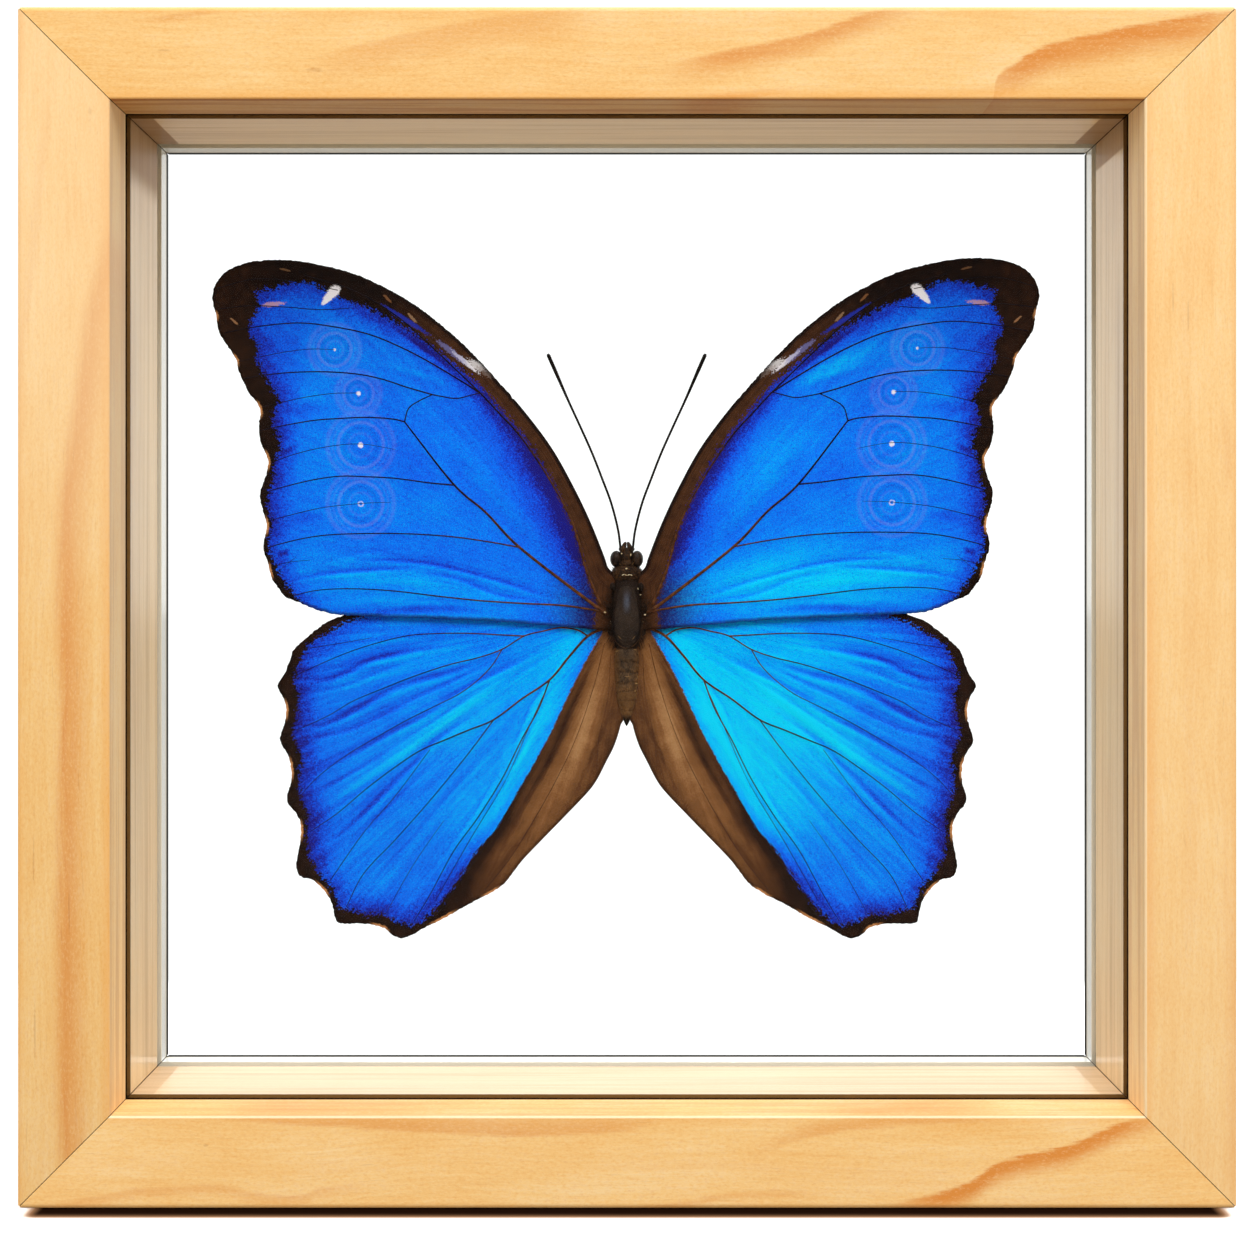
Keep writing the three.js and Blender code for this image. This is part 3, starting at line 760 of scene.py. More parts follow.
HINDWING = {
    "veins": {
        "cubitus": ([(3.9, -3.2), (7, -4.7), (10.2, -8.2), (13.9, -12.6), (19, -16.1), (24, -19.8),
            (28.6, -21.7), (32.9, -23.5), (37.3, -25.4), (41.7, -28.3), (46.9, -32.2), (52.1, -36.6),
            (57.1, -40)], 0.55, 0.14),
        "branch_a": ([(24, -19.8), (27.7, -24.8), (31.2, -29.2), (35.5, -34.4), (41.7, -41.4),
            (47.4, -47.5), (50.6, -53.6)], 0.2, 0.16),
        "branch_b": ([(13.9, -12.6), (15.9, -17.8), (19, -23.5), (22.5, -30.5), (26.8, -37.4),
            (31.2, -43.5), (35.5, -51.4), (38.4, -56.2)], 0.28, 0.16),
        "upper": ([(7, -4.7), (8.9, -3.6), (12, -3.2), (15, -3.8), (18.5, -4.7), (22.5, -7.1),
            (26.8, -8.6), (32.1, -9.9), (38.2, -11.9), (44.3, -14.3), (49.5, -16.5), (53.9, -19.1),
            (59.6, -21.7)], 0.32, 0.14),
        "sector": ([(18.5, -4.7), (22.5, -4.5), (29, -4.2), (35.5, -4.3), (39.9, -4.7), (45.2, -6),
            (50.4, -7.7), (55.6, -9.9), (60, -11.9)], 0.26, 0.14),
        "media": ([(22.5, -7.1), (24.2, -9.9), (26.8, -12.6), (30.3, -15.2), (34.7, -17.4), (39.9, -20),
            (45.2, -23), (50.4, -26.1), (55.6, -30), (58.9, -33.5)], 0.2, 0.14),
        "middle": ([(35.5, -25.2), (41.7, -33.5), (47.4, -40.1), (53.5, -48.8)], 0.1, 0.16),
        "costal": ([(46, -5), (51, -5.9), (57.4, -6.9)], 0.06, 0.14),
        "thin_1": ([(14.4, -14), (18, -22), (22, -31), (28, -41), (34.5, -52.4)], 0.1, 0.14),
        "thin_2": ([(33, -38), (38.5, -46), (43.6, -55)], 0.05, 0.12),
        "anal_1": ([(5.2, -6), (10, -15), (14, -23), (19, -32), (24.5, -41), (30, -49), (35, -56)],
            0.2, 0.16),
        "anal_2": ([(4, -6), (6, -14), (9.5, -24), (14.5, -34), (20.5, -44), (25.6, -50.6)], 0.14, 0.1),
        "anal_3": ([(2.9, -8), (3.4, -16), (5, -23), (5.4, -29)], 0.12, 0.08),
    },
    "blue": [
        (4, 3), (30, 5), (43, 2), (46.5, -0.8), (51, -2.5), (54.5, -4.6), (57.4, -6.4), (58.9, -9.5),
        (60, -13),
        (58.9, -15.2), (59.6, -20), (60.2, -22.6), (58.5, -26.5), (59.1, -31.3), (58.9, -33.5),
        (57.4, -37),
        (57.8, -40.5), (57.2, -44.4), (55.6, -47.5), (53, -50.1), (51.7, -53.6), (46.9, -54.9),
        (44.3, -54.7),
        (41.7, -56.2), (38.2, -56.9), (36, -55.2), (32.1, -51), (28.6, -45.7), (26.8, -43.1),
        (23.3, -39.2), (20.3, -33.9),
        (16.8, -27.8), (13.7, -22.2), (10.7, -15.6), (7.6, -9.5), (4.4, -4),
    ],
    "glows": [
        (28, -18, 21, 4.2, -32, 0.26), (12, -7, 7, 4, -30, 0.1), (34, -8.5, 14, 3.4, -12, 0.1),
        (17, -20, 18, 2.6, -62, 0.26),
        (26, -36, 8, 5, -55, 0.12), (60, -20, 5, 22, 0, -0.2), (58, -42, 5, 12, 10, -0.18),
        (45, -55, 14, 3, 0, -0.14),
        (32, -50, 7, 3, -50, -0.14), (30, -30, 10, 6, -50, 0.1), (16.5, -22, 9, 2.2, -60, 0.12),
        (38, -14, 10, 4, -20, 0.08),
    ],
    "right_painted_light": [
        (26, -17, 22, 12, -38, 0.2), (22, -26, 16, 5, -58, 0.14), (30, -6, 16, 4, -8, 0.14),
        (34, -30, 18, 11, -45, 0.1),
    ],
    "folds": [
        ([(59.7, -12.2), (54.4, -12.5), (49.9, -10.7), (46.2, -8.9), (41.7, -7.7), (33, -6.2)],
            0.6, -0.32, 0.14),
        ([(59.5, -15.4), (55, -14.6), (50, -13.2), (44, -10.8), (36, -8.4)], 0.36, -0.2, 0.08),
        ([(59.7, -20.9), (54.4, -20.5), (49.2, -17.9), (43.2, -14.5), (37.9, -12.6), (33.4, -11.5),
            (26, -9.4)], 0.6, -0.34, 0.14),
        ([(59.7, -23.1), (53, -22.4), (45.4, -19.4), (37.9, -15.6), (30.4, -12.2), (23, -8.6)],
            0.45, -0.28, 0.12),
        ([(57.4, -29.9), (51.4, -26.9), (43.2, -22.3), (36.4, -18.6), (28.9, -13.7), (22.9, -10.7),
            (14, -6.6)], 0.5, -0.3, 0.12),
        ([(58, -33.6), (50, -29.6), (41, -24), (33, -18.6), (24, -12.8)], 0.34, -0.2, 0.08),
        ([(56.7, -36.6), (45.4, -29.1), (36.4, -23.1), (28.9, -17.1), (19.9, -11.1)], 0.7, 0.18, -0.08),
        ([(55, -42), (50.7, -39.6), (43.2, -32.1), (38.6, -27.6), (35, -23.9), (28, -18.8)],
            0.55, -0.3, 0.12),
        ([(51.5, -44), (44, -36.4), (37.6, -30), (30, -22.8)], 0.35, -0.18, 0.08),
        ([(46, -49), (38, -40), (31, -32), (24, -24)], 0.4, -0.14, 0.08),
        ([(21.4, -27.6), (18.4, -19.4), (15.4, -14.1), (10.9, -7.4)], 0.36, -0.26, 0.08),
        ([(27, -39), (21, -29), (17, -20.6), (12.6, -12.6)], 0.3, -0.22, 0.07),
        ([(24, -36), (18.6, -26), (14.6, -18)], 0.4, 0.14, -0.06),
        ([(35, -47), (28, -37), (21, -26)], 0.32, -0.16, 0.06),
        ([(52, -47), (44, -40), (36, -32.5)], 0.5, 0.12, -0.06),
        ([(57, -27), (48, -23.4), (38, -17.6)], 0.6, 0.12, -0.06),
        ([(25, -15.2), (17, -9.8), (10, -6)], 0.36, -0.18, 0.08),
    ],
    "spots": [],
    "notches": [(61.5, -18, 1.6), (60.6, -28.6, 1.8), (58.9, -39.8, 1.6), (54.9, -50.2, 1.6),
        (44.5, -57.2, 1.6), (33, -55.8, 2.4), (24.5, -51, 1.6)],
}
# The lighter and darker parts of the hindwing's brown inner panel, as glows are given: the light patches are
# a painted highlight, the narrow dark ones painted shade along its folds.
BROWN_PATCHES = [
    (7.6, -20.5, 9, 2.2, -74, 0.5), (13.5, -33, 9, 3.2, -58, 0.28), (20, -43.5, 8, 3, -52, 0.1),
    (12.6, -22, 8, 0.9, -62, -0.14),
    (4.6, -10, 6, 2.2, -80, 0.2), (25, -43, 8, 1.2, -56, -0.24), (30, -52, 6, 3, -50, -0.26),
    (3.4, -26, 3.2, 1.6, -70, -0.1),
    (9.6, -17, 9, 0.45, -66, -0.3), (15, -29, 10, 0.5, -60, -0.26), (6.2, -26, 7, 0.35, -66, -0.2),
    (19.5, -42, 8, 0.4, -54, -0.2),
]


def glow(points, patches):
    """The sum of soft elliptical patches."""
    total = np.zeros(len(points))
    for x, z, long, wide, turn, amount in patches:
        c, s = math.cos(math.radians(turn)), math.sin(math.radians(turn))
        dx, dz = points[:, 0] - x, points[:, 1] - z
        total += amount * np.exp(-(((dx * c + dz * s) / long) ** 2) - ((dz * c - dx * s) / wide) ** 2)
    return total


def fold_marks(points, folds, which):
    """The sum of soft strokes with finer pleats beside them: of colour for which 2, which paints the folds'
    shade and highlights, of height for which 3.
    """
    total = np.zeros(len(points))
    for fold in folds:
        line = smooth_line(fold[0], 1.5)
        length = np.linalg.norm(np.diff(line, axis=0), axis=1).sum()
        nearest = np.linalg.norm(points[:, None] - line, axis=2).argmin(axis=1)
        share = nearest / (len(line) - 1)
        taper = np.clip(np.minimum(share, 1 - share) * length / min(9, length / 2), 0.0, 1) ** 0.7
        width = fold[1] * (0.45 + 0.55 * taper)
        ahead = np.gradient(line, axis=0)[nearest]
        gap = points - line[nearest]
        side = np.sign(ahead[:, 0] * gap[:, 1] - ahead[:, 1] * gap[:, 0])
        far = distance_to(points, line) * side
        stroke = np.exp(-((far / width) ** 2)) - 0.45 * np.exp(-(((far - 1.7 * width) / (0.8 * width)) ** 2))
        stroke += 0.35 * np.exp(-(((far + 2.3 * width) / (0.5 * width)) ** 2))
        total += fold[which] * stroke * taper
    return total


def relief(points, marks):
    """How far the wing's skin stands behind its middle plane, in millimetres."""
    raised = [line for line, first, _ in marks["veins"].values() if first > 0.15]
    vein = np.min([distance_to(points, smooth_line(line, 1.5)) for line in raised], axis=0)
    x, z = points[:, 0], points[:, 1]
    waves = 0.05 * np.sin(x * 0.22 + z * 0.13) + 0.04 * np.sin(x * 0.11 - z * 0.31 + 2)
    waves += 0.015 * np.sin(x * 0.9 + z * 0.7)
    return waves - 0.07 * np.exp(-((vein / 0.7) ** 2)) + fold_marks(points, marks["folds"], 3)


# ---- Wings: materials ----
NEAR_BLACK = srgb(26, 14, 9)


def wing_upper(name, fore):
    """The blue upper side with its dark, frayed border."""
    s = Shader(name)
    x, z, _ = s.split(s.attribute("place", "Vector"))
    edge, rim, cyan = s.attribute("edge"), s.attribute("rim"), s.attribute("cyan")
    flat = s.vector(x, z)
    radius = s.distance(x, z)
    angle = s.math("ARCTAN2", z, x)
    scales = s.noise(flat, 3.4, 2, 0.6)
    wrinkles = s.noise(flat, 1.3, 3, 0.6, 1.6)
    soft = s.noise(flat, 0.14, 3, 0.55)
    # The rays paint the light and shade of fine pleats that fan out from the base: painted light and shade,
    # with no relief.
    rays = s.noise(s.vector(radius * 0.05, angle * 40), 1, 3, 0.62)
    crinkle = s.noise(flat, 0.8, 4, 0.62, 1.4)
    fine_crinkle = s.noise(flat, 2.1, 2, 0.6, 0.8)
    # The creases are bumped and also painted darker: painted shade in them.
    creases = s.step(abs(crinkle - 0.5), 0.03, 0.0) * 0.5
    creases = creases + s.step(abs(fine_crinkle - 0.5), 0.04, 0.0) * 0.5
    fine_rays = s.noise(s.vector(radius * 0.9, angle * 150), 1, 2, 0.6)
    level = cyan + (soft - 0.5) * 0.22 + (rays - 0.5) * (0.26 if fore else 0.6)
    level = level + (wrinkles - 0.5) * 0.34 + (scales - 0.5) * 0.6 - creases * 0.16
    inner = s.step(edge + (wrinkles - 0.5) * 4, 0, 4) * 0.2 - 0.2
    if not fore:
        inner = inner * (s.attribute("outer") * 0.75 + 0.25)
    blue = s.ramp(
        level + inner,
        (0.0, srgb(26, 24, 122)),
        (0.18, srgb(20, 58, 206)),
        (0.36, srgb(12, 96, 242)),
        (0.54, srgb(4, 130, 253)),
        (0.74, srgb(0, 170, 255)),
        (1.0, srgb(0, 210, 255)),
    )
    shade = s.step(scales * 0.5 + wrinkles * 0.5, 0.44, 0.3) * 0.3
    blue = s.mix(shade, blue, srgb(8, 40, 130))
    if fore:
        for sx, sz, dot, ring, outer in FOREWING["spots"]:
            far = s.distance(x - sx, z - sz) + (wrinkles - 0.5) * 0.5 + (scales - 0.5) * 0.3
            ring_mask = s.band(far, ring, 0.5) * 0.32 + s.band(far, outer, 0.7) * 0.17
            ring_mask = ring_mask + s.band(far, (ring + outer) / 2, 0.35) * 0.1
            ring_mask = ring_mask * (scales * 2) + s.band(far, ring * 0.52, 0.4) * 0.12
            blue = s.mix(ring_mask, blue, srgb(116, 132, 232))
            blue = s.mix(s.band(far, ring * 0.75, 0.5) * 0.2, blue, srgb(10, 60, 190))
            if outer == 6.0 and ring == 4.0:
                blue = s.mix(s.band(far, 0.42, 0.2) * 0.8, blue, srgb(214, 214, 244))
            else:
                blue = s.mix(s.step(far, dot + 0.16, dot - 0.08) * 0.95, blue, srgb(236, 232, 248))
    fray = (s.noise(flat, 1.5, 3, 0.75) - 0.5) * 2.4 + (fine_rays - 0.5) * 2.8 + (scales - 0.5) * 2.6
    if not fore:
        fray = fray * (s.attribute("outer") * 0.8 + 0.2)
    is_blue = s.step(edge + fray, -0.12, 0.12)
    root_ends = (17, 5.5) if fore else (10.5, 4.5)
    root = s.step(radius + (wrinkles - 0.5) * 6 + (scales - 0.5) * 4, *root_ends)
    blue = s.mix(root * 0.92, blue, srgb(26, 18, 36))
    brown_noise = s.noise(flat, 0.5, 4, 0.65)
    if fore:
        # A brown band runs along the leading edge, with a black line at its rim.
        costa = s.attribute("costa")
        warm = s.step(costa, 0.4, 0.9) * s.most(s.step(costa, 5.2, 3.4), s.step(radius, 15, 11))
        warm = warm * s.step(x, 46, 30) * 0.9
        apex = s.step(x, 62, 72) * 0.2
        dark = s.ramp(brown_noise, (0.3, srgb(15, 7, 4)), (0.6, srgb(30, 16, 9)), (0.8, srgb(46, 26, 14)))
        lines = s.noise(s.vector(costa * 2.6, radius * 0.05), 1, 2, 0.6)
        streaky = brown_noise * 0.5 + lines * 0.5
        fibres = s.ramp(streaky, (0.34, srgb(44, 24, 12)), (0.66, srgb(86, 52, 29)))
        dark = s.mix(s.most(warm, apex), dark, fibres)
        colour = s.mix(is_blue, dark, blue)
        colour = forewing_marks(s, x, z, colour, wrinkles, scales)
    else:
        tan = s.attribute("tan")
        clouds = s.noise(flat, 0.35, 3, 0.6)
        panel_level = tan + (clouds + rays + scales - 1.5) * 0.34 - creases * 0.08
        panel = s.ramp(
            panel_level,
            (0.0, srgb(40, 22, 12)),
            (0.3, srgb(84, 52, 29)),
            (0.6, srgb(126, 84, 48)),
            (1.0, srgb(178, 134, 90)),
        )
        outer = s.ramp(brown_noise, (0.3, srgb(15, 8, 5)), (0.75, srgb(46, 26, 15)))
        is_outer = s.attribute("outer")
        colour = s.mix(is_blue, s.mix(is_outer, panel, outer), blue)
    dark_rim = s.step(rim, 0.75, 0.3) * 0.5
    colour = s.mix(dark_rim, colour, NEAR_BLACK)
    fringe = s.attribute("fringe") * s.step(rim + (scales - 0.5) * 0.5, 0.5, 0.22)
    colour = s.mix(fringe * 0.9, colour, srgb(216, 152, 96))
    height = scales * 0.4 + wrinkles * 0.4 - creases * 0.2
    return s.surface(
        Base_Color=colour, Roughness=0.5, Specular_IOR_Level=0.04, Normal=s.bump(height, 0.14, 0.8)
    )


def forewing_marks(s, x, z, colour, wrinkles, scales):
    """The white and pinkish marks near the tip and along the leading edge, and a painted highlight of sheen
    with its halo on the leading edge.
    """

    def streak(ax, az, bx, bz, width, tone, amount, ragged=0.5):
        nonlocal colour
        length = math.hypot(bx - ax, bz - az)
        ux, uz = (bx - ax) / length, (bz - az) / length
        along = ((x - ax) * ux + (z - az) * uz) / (length / 2) - 1
        aside = ((z - az) * ux - (x - ax) * uz) / (width / 2)
        reach = s.distance(along, aside) + (wrinkles + scales - 1) * ragged
        colour = s.mix(s.step(reach, 1.15, 0.75) * amount, colour, tone)

    white, pink = srgb(244, 242, 252), srgb(205, 160, 168)
    streak(51.8, 58.3, 53.8, 56.3, 2.0, white, 0.97, 0.8)
    streak(52.8, 57.2, 54.6, 55.5, 1.5, white, 0.95, 0.8)
    streak(53.8, 55.9, 55.0, 55.0, 0.8, white, 0.9, 0.8)
    streak(61.8, 55.3, 65.6, 54.9, 0.9, pink, 0.75, 1.6)
    # The next four streaks are a painted highlight: a white glint of sheen with its halo on the leading edge.
    streak(26.6, 42.6, 31.6, 46.8, 0.8, srgb(236, 232, 242), 0.8, 1.1)
    streak(28.6, 44.2, 34.2, 48.6, 1.1, srgb(120, 124, 190), 0.5, 1.4)
    streak(25.6, 43.2, 28.6, 44.9, 1.4, srgb(226, 222, 226), 0.7, 1.8)
    streak(24.2, 41.8, 26.8, 43.8, 1.0, srgb(130, 112, 104), 0.5, 1.8)
    streak(35.9, 49.8, 43.8, 54.8, 0.9, srgb(30, 48, 172), 0.8, 1.2)
    streak(37.9, 51.8, 39.4, 53.4, 0.6, srgb(170, 132, 100), 0.6, 1.2)
    streak(42.4, 55.4, 43.8, 56.8, 0.5, srgb(150, 100, 62), 0.6, 1.2)
    streak(70.0, 51.4, 71.4, 52.6, 0.4, srgb(176, 128, 88), 0.6, 1.2)
    streak(60.6, 61.1, 62.5, 61.5, 0.4, srgb(140, 100, 66), 0.5, 1.2)
    return colour


# The eyespots on the underside, as (x, z, radius).
FORE_EYESPOTS = [(x, z, 2.6) for x, z, *_ in FOREWING["spots"]]
HIND_EYESPOTS = [(40, -16, 3.6), (42, -33, 3), (36, -44, 3), (28, -40, 2.4)]


def wing_under(name, fore):
    """The underside: brown with pale bands and ringed eyespots."""
    s = Shader(name)
    x, z, _ = s.split(s.attribute("place", "Vector"))
    flat = s.vector(x, z)
    scales, cloud = s.noise(flat, 3.0, 2, 0.6), s.noise(flat, 0.35, 4, 0.6)
    radius = s.distance(x, z)
    waves = s.math("SINE", radius * 0.62 + (cloud - 0.5) * 7)
    colour = s.ramp(
        cloud * 0.7 + scales * 0.3,
        (0.3, srgb(62, 42, 27)),
        (0.55, srgb(96, 68, 44)),
        (0.75, srgb(126, 94, 62)),
    )
    colour = s.mix(s.step(waves, 0.75, 0.98) * 0.4, colour, srgb(176, 150, 112))
    rim = s.attribute("rim")
    colour = s.mix(s.band(rim, 2.6, 0.5) * 0.6, colour, srgb(190, 160, 116))
    colour = s.mix(s.band(rim, 1.2, 0.5) * 0.6, colour, srgb(48, 30, 19))
    for px, pz, size in FORE_EYESPOTS if fore else HIND_EYESPOTS:
        far = s.distance(x - px, z - pz) + (scales - 0.5) * 0.3
        colour = s.mix(s.step(far, size + 1.3, size + 0.9), colour, srgb(52, 33, 20))
        colour = s.mix(s.step(far, size + 0.5, size + 0.2), colour, srgb(196, 152, 74))
        colour = s.mix(s.step(far, size - 0.4, size - 0.7), colour, srgb(30, 18, 12))
        colour = s.mix(s.step(far, 0.7, 0.45), colour, srgb(226, 220, 206))
    return s.surface(
        Base_Color=colour,
        Roughness=0.7,
        Normal=s.bump(scales, 0.05, 0.6),
        Specular_IOR_Level=0.1,
    )


def dark_brown(name, low, high, scale, roughness=0.6, bump=0.04):
    """A mottled dark surface such as a vein, a leg or an antenna."""
    s = Shader(name)
    x, y, z = s.millimetres()
    grain = s.noise(s.vector(x, y, z), scale, 3, 0.6)
    fine = s.noise(s.vector(x, y, z), scale * 4, 2, 0.6)
    return s.surface(
        Base_Color=s.ramp(grain, (0.32, low), (0.68, high)),
        Roughness=roughness,
        Normal=s.bump(fine, bump, 0.6),
        Specular_IOR_Level=0.06,
    )


def wing_vein():
    """Reddish brown at the body and almost black further out."""
    s = Shader("wing_vein")
    x, y, z = s.millimetres()
    grain = s.noise(s.vector(x, y, z), 0.9, 3, 0.6)
    far = s.distance(x, z - BUTTERFLY_Z)
    brown = s.ramp(grain, (0.35, srgb(58, 34, 20)), (0.65, srgb(104, 62, 34)))
    black = s.ramp(grain, (0.35, srgb(10, 10, 22)), (0.65, srgb(34, 24, 26)))
    colour = s.mix(s.step(far, 14, 44), brown, black)
    return s.surface(
        Base_Color=colour,
        Roughness=0.6,
        Specular_IOR_Level=0.04,
        Normal=s.bump(grain, 0.04, 0.5),
    )


# ---- Wings: meshes ----
WING_GRID, SKIN = 0.5, 0.12


def outline_of(node):
    """The ring around the node's front face, as [x, z]."""
    mesh = nodes[node].data
    spots = np.array([v.co for v in mesh.vertices]) / MM
    front = spots[:, 1].min() + 0.01
    following = {}
    for polygon in mesh.polygons:
        if all(spots[i][1] < front for i in polygon.vertices):
            ring = [tuple(np.round(spots[i][[0, 2]], 3)) for i in polygon.vertices]
            for a, b in zip(ring, ring[1:] + ring[:1]):
                if (b, a) in following:
                    del following[(b, a)]
                else:
                    following[(a, b)] = True
    after = dict(following.keys())
    rings = []
    while after:
        first, here = after.popitem()
        ring = [first]
        while here != first and here in after:
            ring.append(here)
            here = after.pop(here)
        rings.append(ring)
    return np.array(max(rings, key=len))


def build_wing(kind, word, marks, middle_y, materials, lift):
    """A wing of two skins with its relief and its veins, where its CAD node is."""
    side = -1 if word == "left" else 1
    name = f"{kind}_{word}"
    turn = np.array([[math.cos(lift), math.sin(lift)], [-math.sin(lift), math.cos(lift)]])
    ring = outline_of(name)
    ring = np.stack([side * ring[:, 0], ring[:, 1] - BUTTERFLY_Z], axis=1) @ turn.T
    area = np.sum(ring[:, 0] * np.roll(ring[:, 1], -1) - np.roll(ring[:, 0], -1) * ring[:, 1])
    if area < 0:
        ring = ring[::-1]
    if kind == "hindwing":
        # The wings run on behind the body, so no light shows between them.
        beside = (ring[:, 0] < 3.4) & (ring[:, 1] > -20.5)
        ring[beside, 0] -= np.interp(ring[beside, 1], [-20.5, -18.5, 5], [0, 1.1, 1.5])
    else:
        ring[(ring[:, 0] < 4.0) & (ring[:, 1] < 6.5), 0] -= 1.1
    ring = smooth_line(ring, 0.4, closed=True)
    tangent = np.roll(ring, -1, axis=0) - np.roll(ring, 1, axis=0)
    outward = np.stack([tangent[:, 1], -tangent[:, 0]], axis=1) / np.linalg.norm(tangent, axis=1)[:, None]
    ring = ring + outward * (random.normal(0, 0.045, len(ring)) - 0.04)[:, None] * (ring[:, :1] > 20)

    low, high = ring.min(0), ring.max(0)
    rows = np.arange(low[1], high[1], WING_GRID * 0.866)
    columns = np.arange(low[0], high[0], WING_GRID)
    grid = np.array([(gx + (k % 2) * WING_GRID / 2, gz) for k, gz in enumerate(rows) for gx in columns])
    grid += random.normal(0, 0.04, grid.shape)
    grid = grid[inside(grid, ring)]
    grid = grid[distance_to(grid, ring, closed=True) > 0.28]
    points = np.vstack([ring, grid])
    count = len(ring)
    edges = [(i, (i + 1) % count) for i in range(count)]
    found = delaunay_2d_cdt([Vector(p) for p in points.tolist()], edges, [], 1, 1e-5)
    points = np.array([tuple(v) for v in found[0]])
    triangles = [tuple(f) for f in found[2]]

    def counter_clockwise(triangle):
        a, b, c = (points[i] for i in triangle)
        return triangle if np.cross(b - a, c - a) > 0 else triangle[::-1]

    triangles = [counter_clockwise(triangle) for triangle in triangles]

    def to_frame(flat, y):
        back = flat @ turn
        return np.stack([side * back[:, 0], y, back[:, 1] + BUTTERFLY_Z], axis=1)

    height = relief(points, marks) + middle_y
    total = len(points)
    verts = np.vstack([to_frame(points, height - SKIN / 2), to_frame(points, height + SKIN / 2)])
    # Seen from -Y with +X to the right, a ring that runs counter-clockwise faces the viewer.
    front = triangles if side > 0 else [f[::-1] for f in triangles]
    back = [tuple(i + total for i in f[::-1]) for f in front]
    directed = {}
    for f in front:
        for a, b in zip(f, f[1:] + f[:1]):
            directed[(a, b)] = True
    loose = [(a, b) for a, b in directed if (b, a) not in directed]
    rims = [(b, a, a + total, b + total) for a, b in loose]
    piece = make_piece(
        name=f"{name}_skin",
        verts=verts,
        faces=front + back + rims,
        materials=materials[:2],
        face_material=[0] * len(front) + [1] * len(back) + [0] * len(rims),
    )
    rim = distance_to(points, ring, closed=True)
    edge = signed_distance(points, marks["blue"])
    glows = marks["glows"] + (marks["right_painted_light"] if side > 0 else [])
    ground = 0.42 if kind == "forewing" else 0.49
    # The level of cyan carries painted light: the folds' painted shade and highlights, and more light on the
    # right wings.
    cyan = ground + glow(points, glows) + fold_marks(points, marks["folds"], 2)
    in_notches = [np.linalg.norm(points - (nx, nz), axis=1) / size for nx, nz, size in marks["notches"]]
    fields = {
        "place": np.column_stack([points, np.zeros(total)]),
        "rim": rim,
        "edge": edge,
        "cyan": cyan,
        "fringe": np.exp(-(np.min(in_notches, axis=0) ** 4)),
    }
    if kind == "forewing":
        # The blue turns dark and violet beside the brown leading edge.
        near_body = np.clip((34 - points[:, 0]) / 8, 0, 1) * (points[:, 1] > points[:, 0])
        fields["cyan"] -= 0.17 * np.exp(-((edge / 2.4) ** 2)) * near_body
        around = np.roll(ring, -ring[:, 1].argmin(), axis=0)
        leading = (around[:, 0] < 62) & (around[:, 1] > 1.5 + around[:, 0] * 0.55)
        fields["costa"] = distance_to(points, around[leading])
    else:
        beside_blue = np.exp(-((edge / 1.6) ** 2)) * np.clip((-points[:, 1] - 24) / 14, 0, 1)
        fields["tan"] = 0.34 + glow(points, BROWN_PATCHES) - 0.34 * beside_blue
        fields["outer"] = np.clip((points[:, 0] - 25) / 8, 0, 1)
        inside_edge = np.exp(-(((edge - 1.0) / 1.8) ** 2)) * (1 - fields["outer"])
        middle = np.clip((-points[:, 1] - 8) / 8, 0, 1) * np.clip((points[:, 1] + 44) / 8, 0, 1)
        fields["cyan"] += 0.16 * inside_edge * middle
    keep_numbers(piece, **{k: np.concatenate([v, v]) for k, v in fields.items()})
    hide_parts(name)

    tubes = []
    for line, first, last in marks["veins"].values():
        line = smooth_line(line, 0.7)
        line = line[inside(line, ring)]
        share = np.linspace(0, 1, len(line))
        radii = (first + (last * 0.85 - first) * share ** (0.9 if first > 0.6 else 0.5)) / 2
        y = relief(line, marks) + middle_y - SKIN / 2 - radii * 0.1
        tubes.append(tube(to_frame(line, y), radii, sides=6, flat=0.7))
    verts, faces = joined(tubes)
    veins = make_piece(f"{name}_veins", verts, faces, [materials[2]])
    return piece


mitre_glue()
vein_brown = wing_vein()
PAIRS = [("forewing", FOREWING, FOREWING_Y, RIGHT_WING_LIFT), ("hindwing", HINDWING, HINDWING_Y, 0)]
for kind, marks, middle, lift in PAIRS:
    fore = kind == "forewing"
    materials = [wing_upper(f"{kind}_upper", fore), wing_under(f"{kind}_under", fore), vein_brown]
    for word in ("left", "right"):
        build_wing(kind, word, marks, middle, materials, lift if word == "right" else 0)

# ---- Body, antennae and legs ----
# Rows of the trunk and of the plate over the thorax, as (height, half width, depth in front of the axis). The
# heights are from the thorax's middle.
TRUNK = [
    (-21, 0.05, 0.05), (-20.6, 0.28, 0.3), (-19.8, 0.62, 0.62), (-19.0, 0.95, 0.9), (-17.8, 1.3, 1.2),
    (-16.4, 1.62, 1.5),
    (-14.8, 1.85, 1.75), (-12.5, 2.05, 2.0), (-10, 2.2, 2.2), (-8.4, 2.22, 2.3), (-7.5, 2.05, 2.2),
    (-6.9, 1.9, 2.0),
    (-6.2, 2.2, 2.1), (-4, 2.7, 2.4), (-1, 2.95, 2.5), (2, 2.9, 2.5), (4.1, 2.75, 2.5), (4.9, 2.35, 2.35),
    (5.3, 2.3, 2.3),
    (5.7, 2.55, 2.5), (6.4, 2.72, 2.7), (7.1, 2.6, 2.6), (7.7, 2.2, 2.2), (8.2, 1.5, 1.6),
    (8.5, 0.9, 0.9),
]
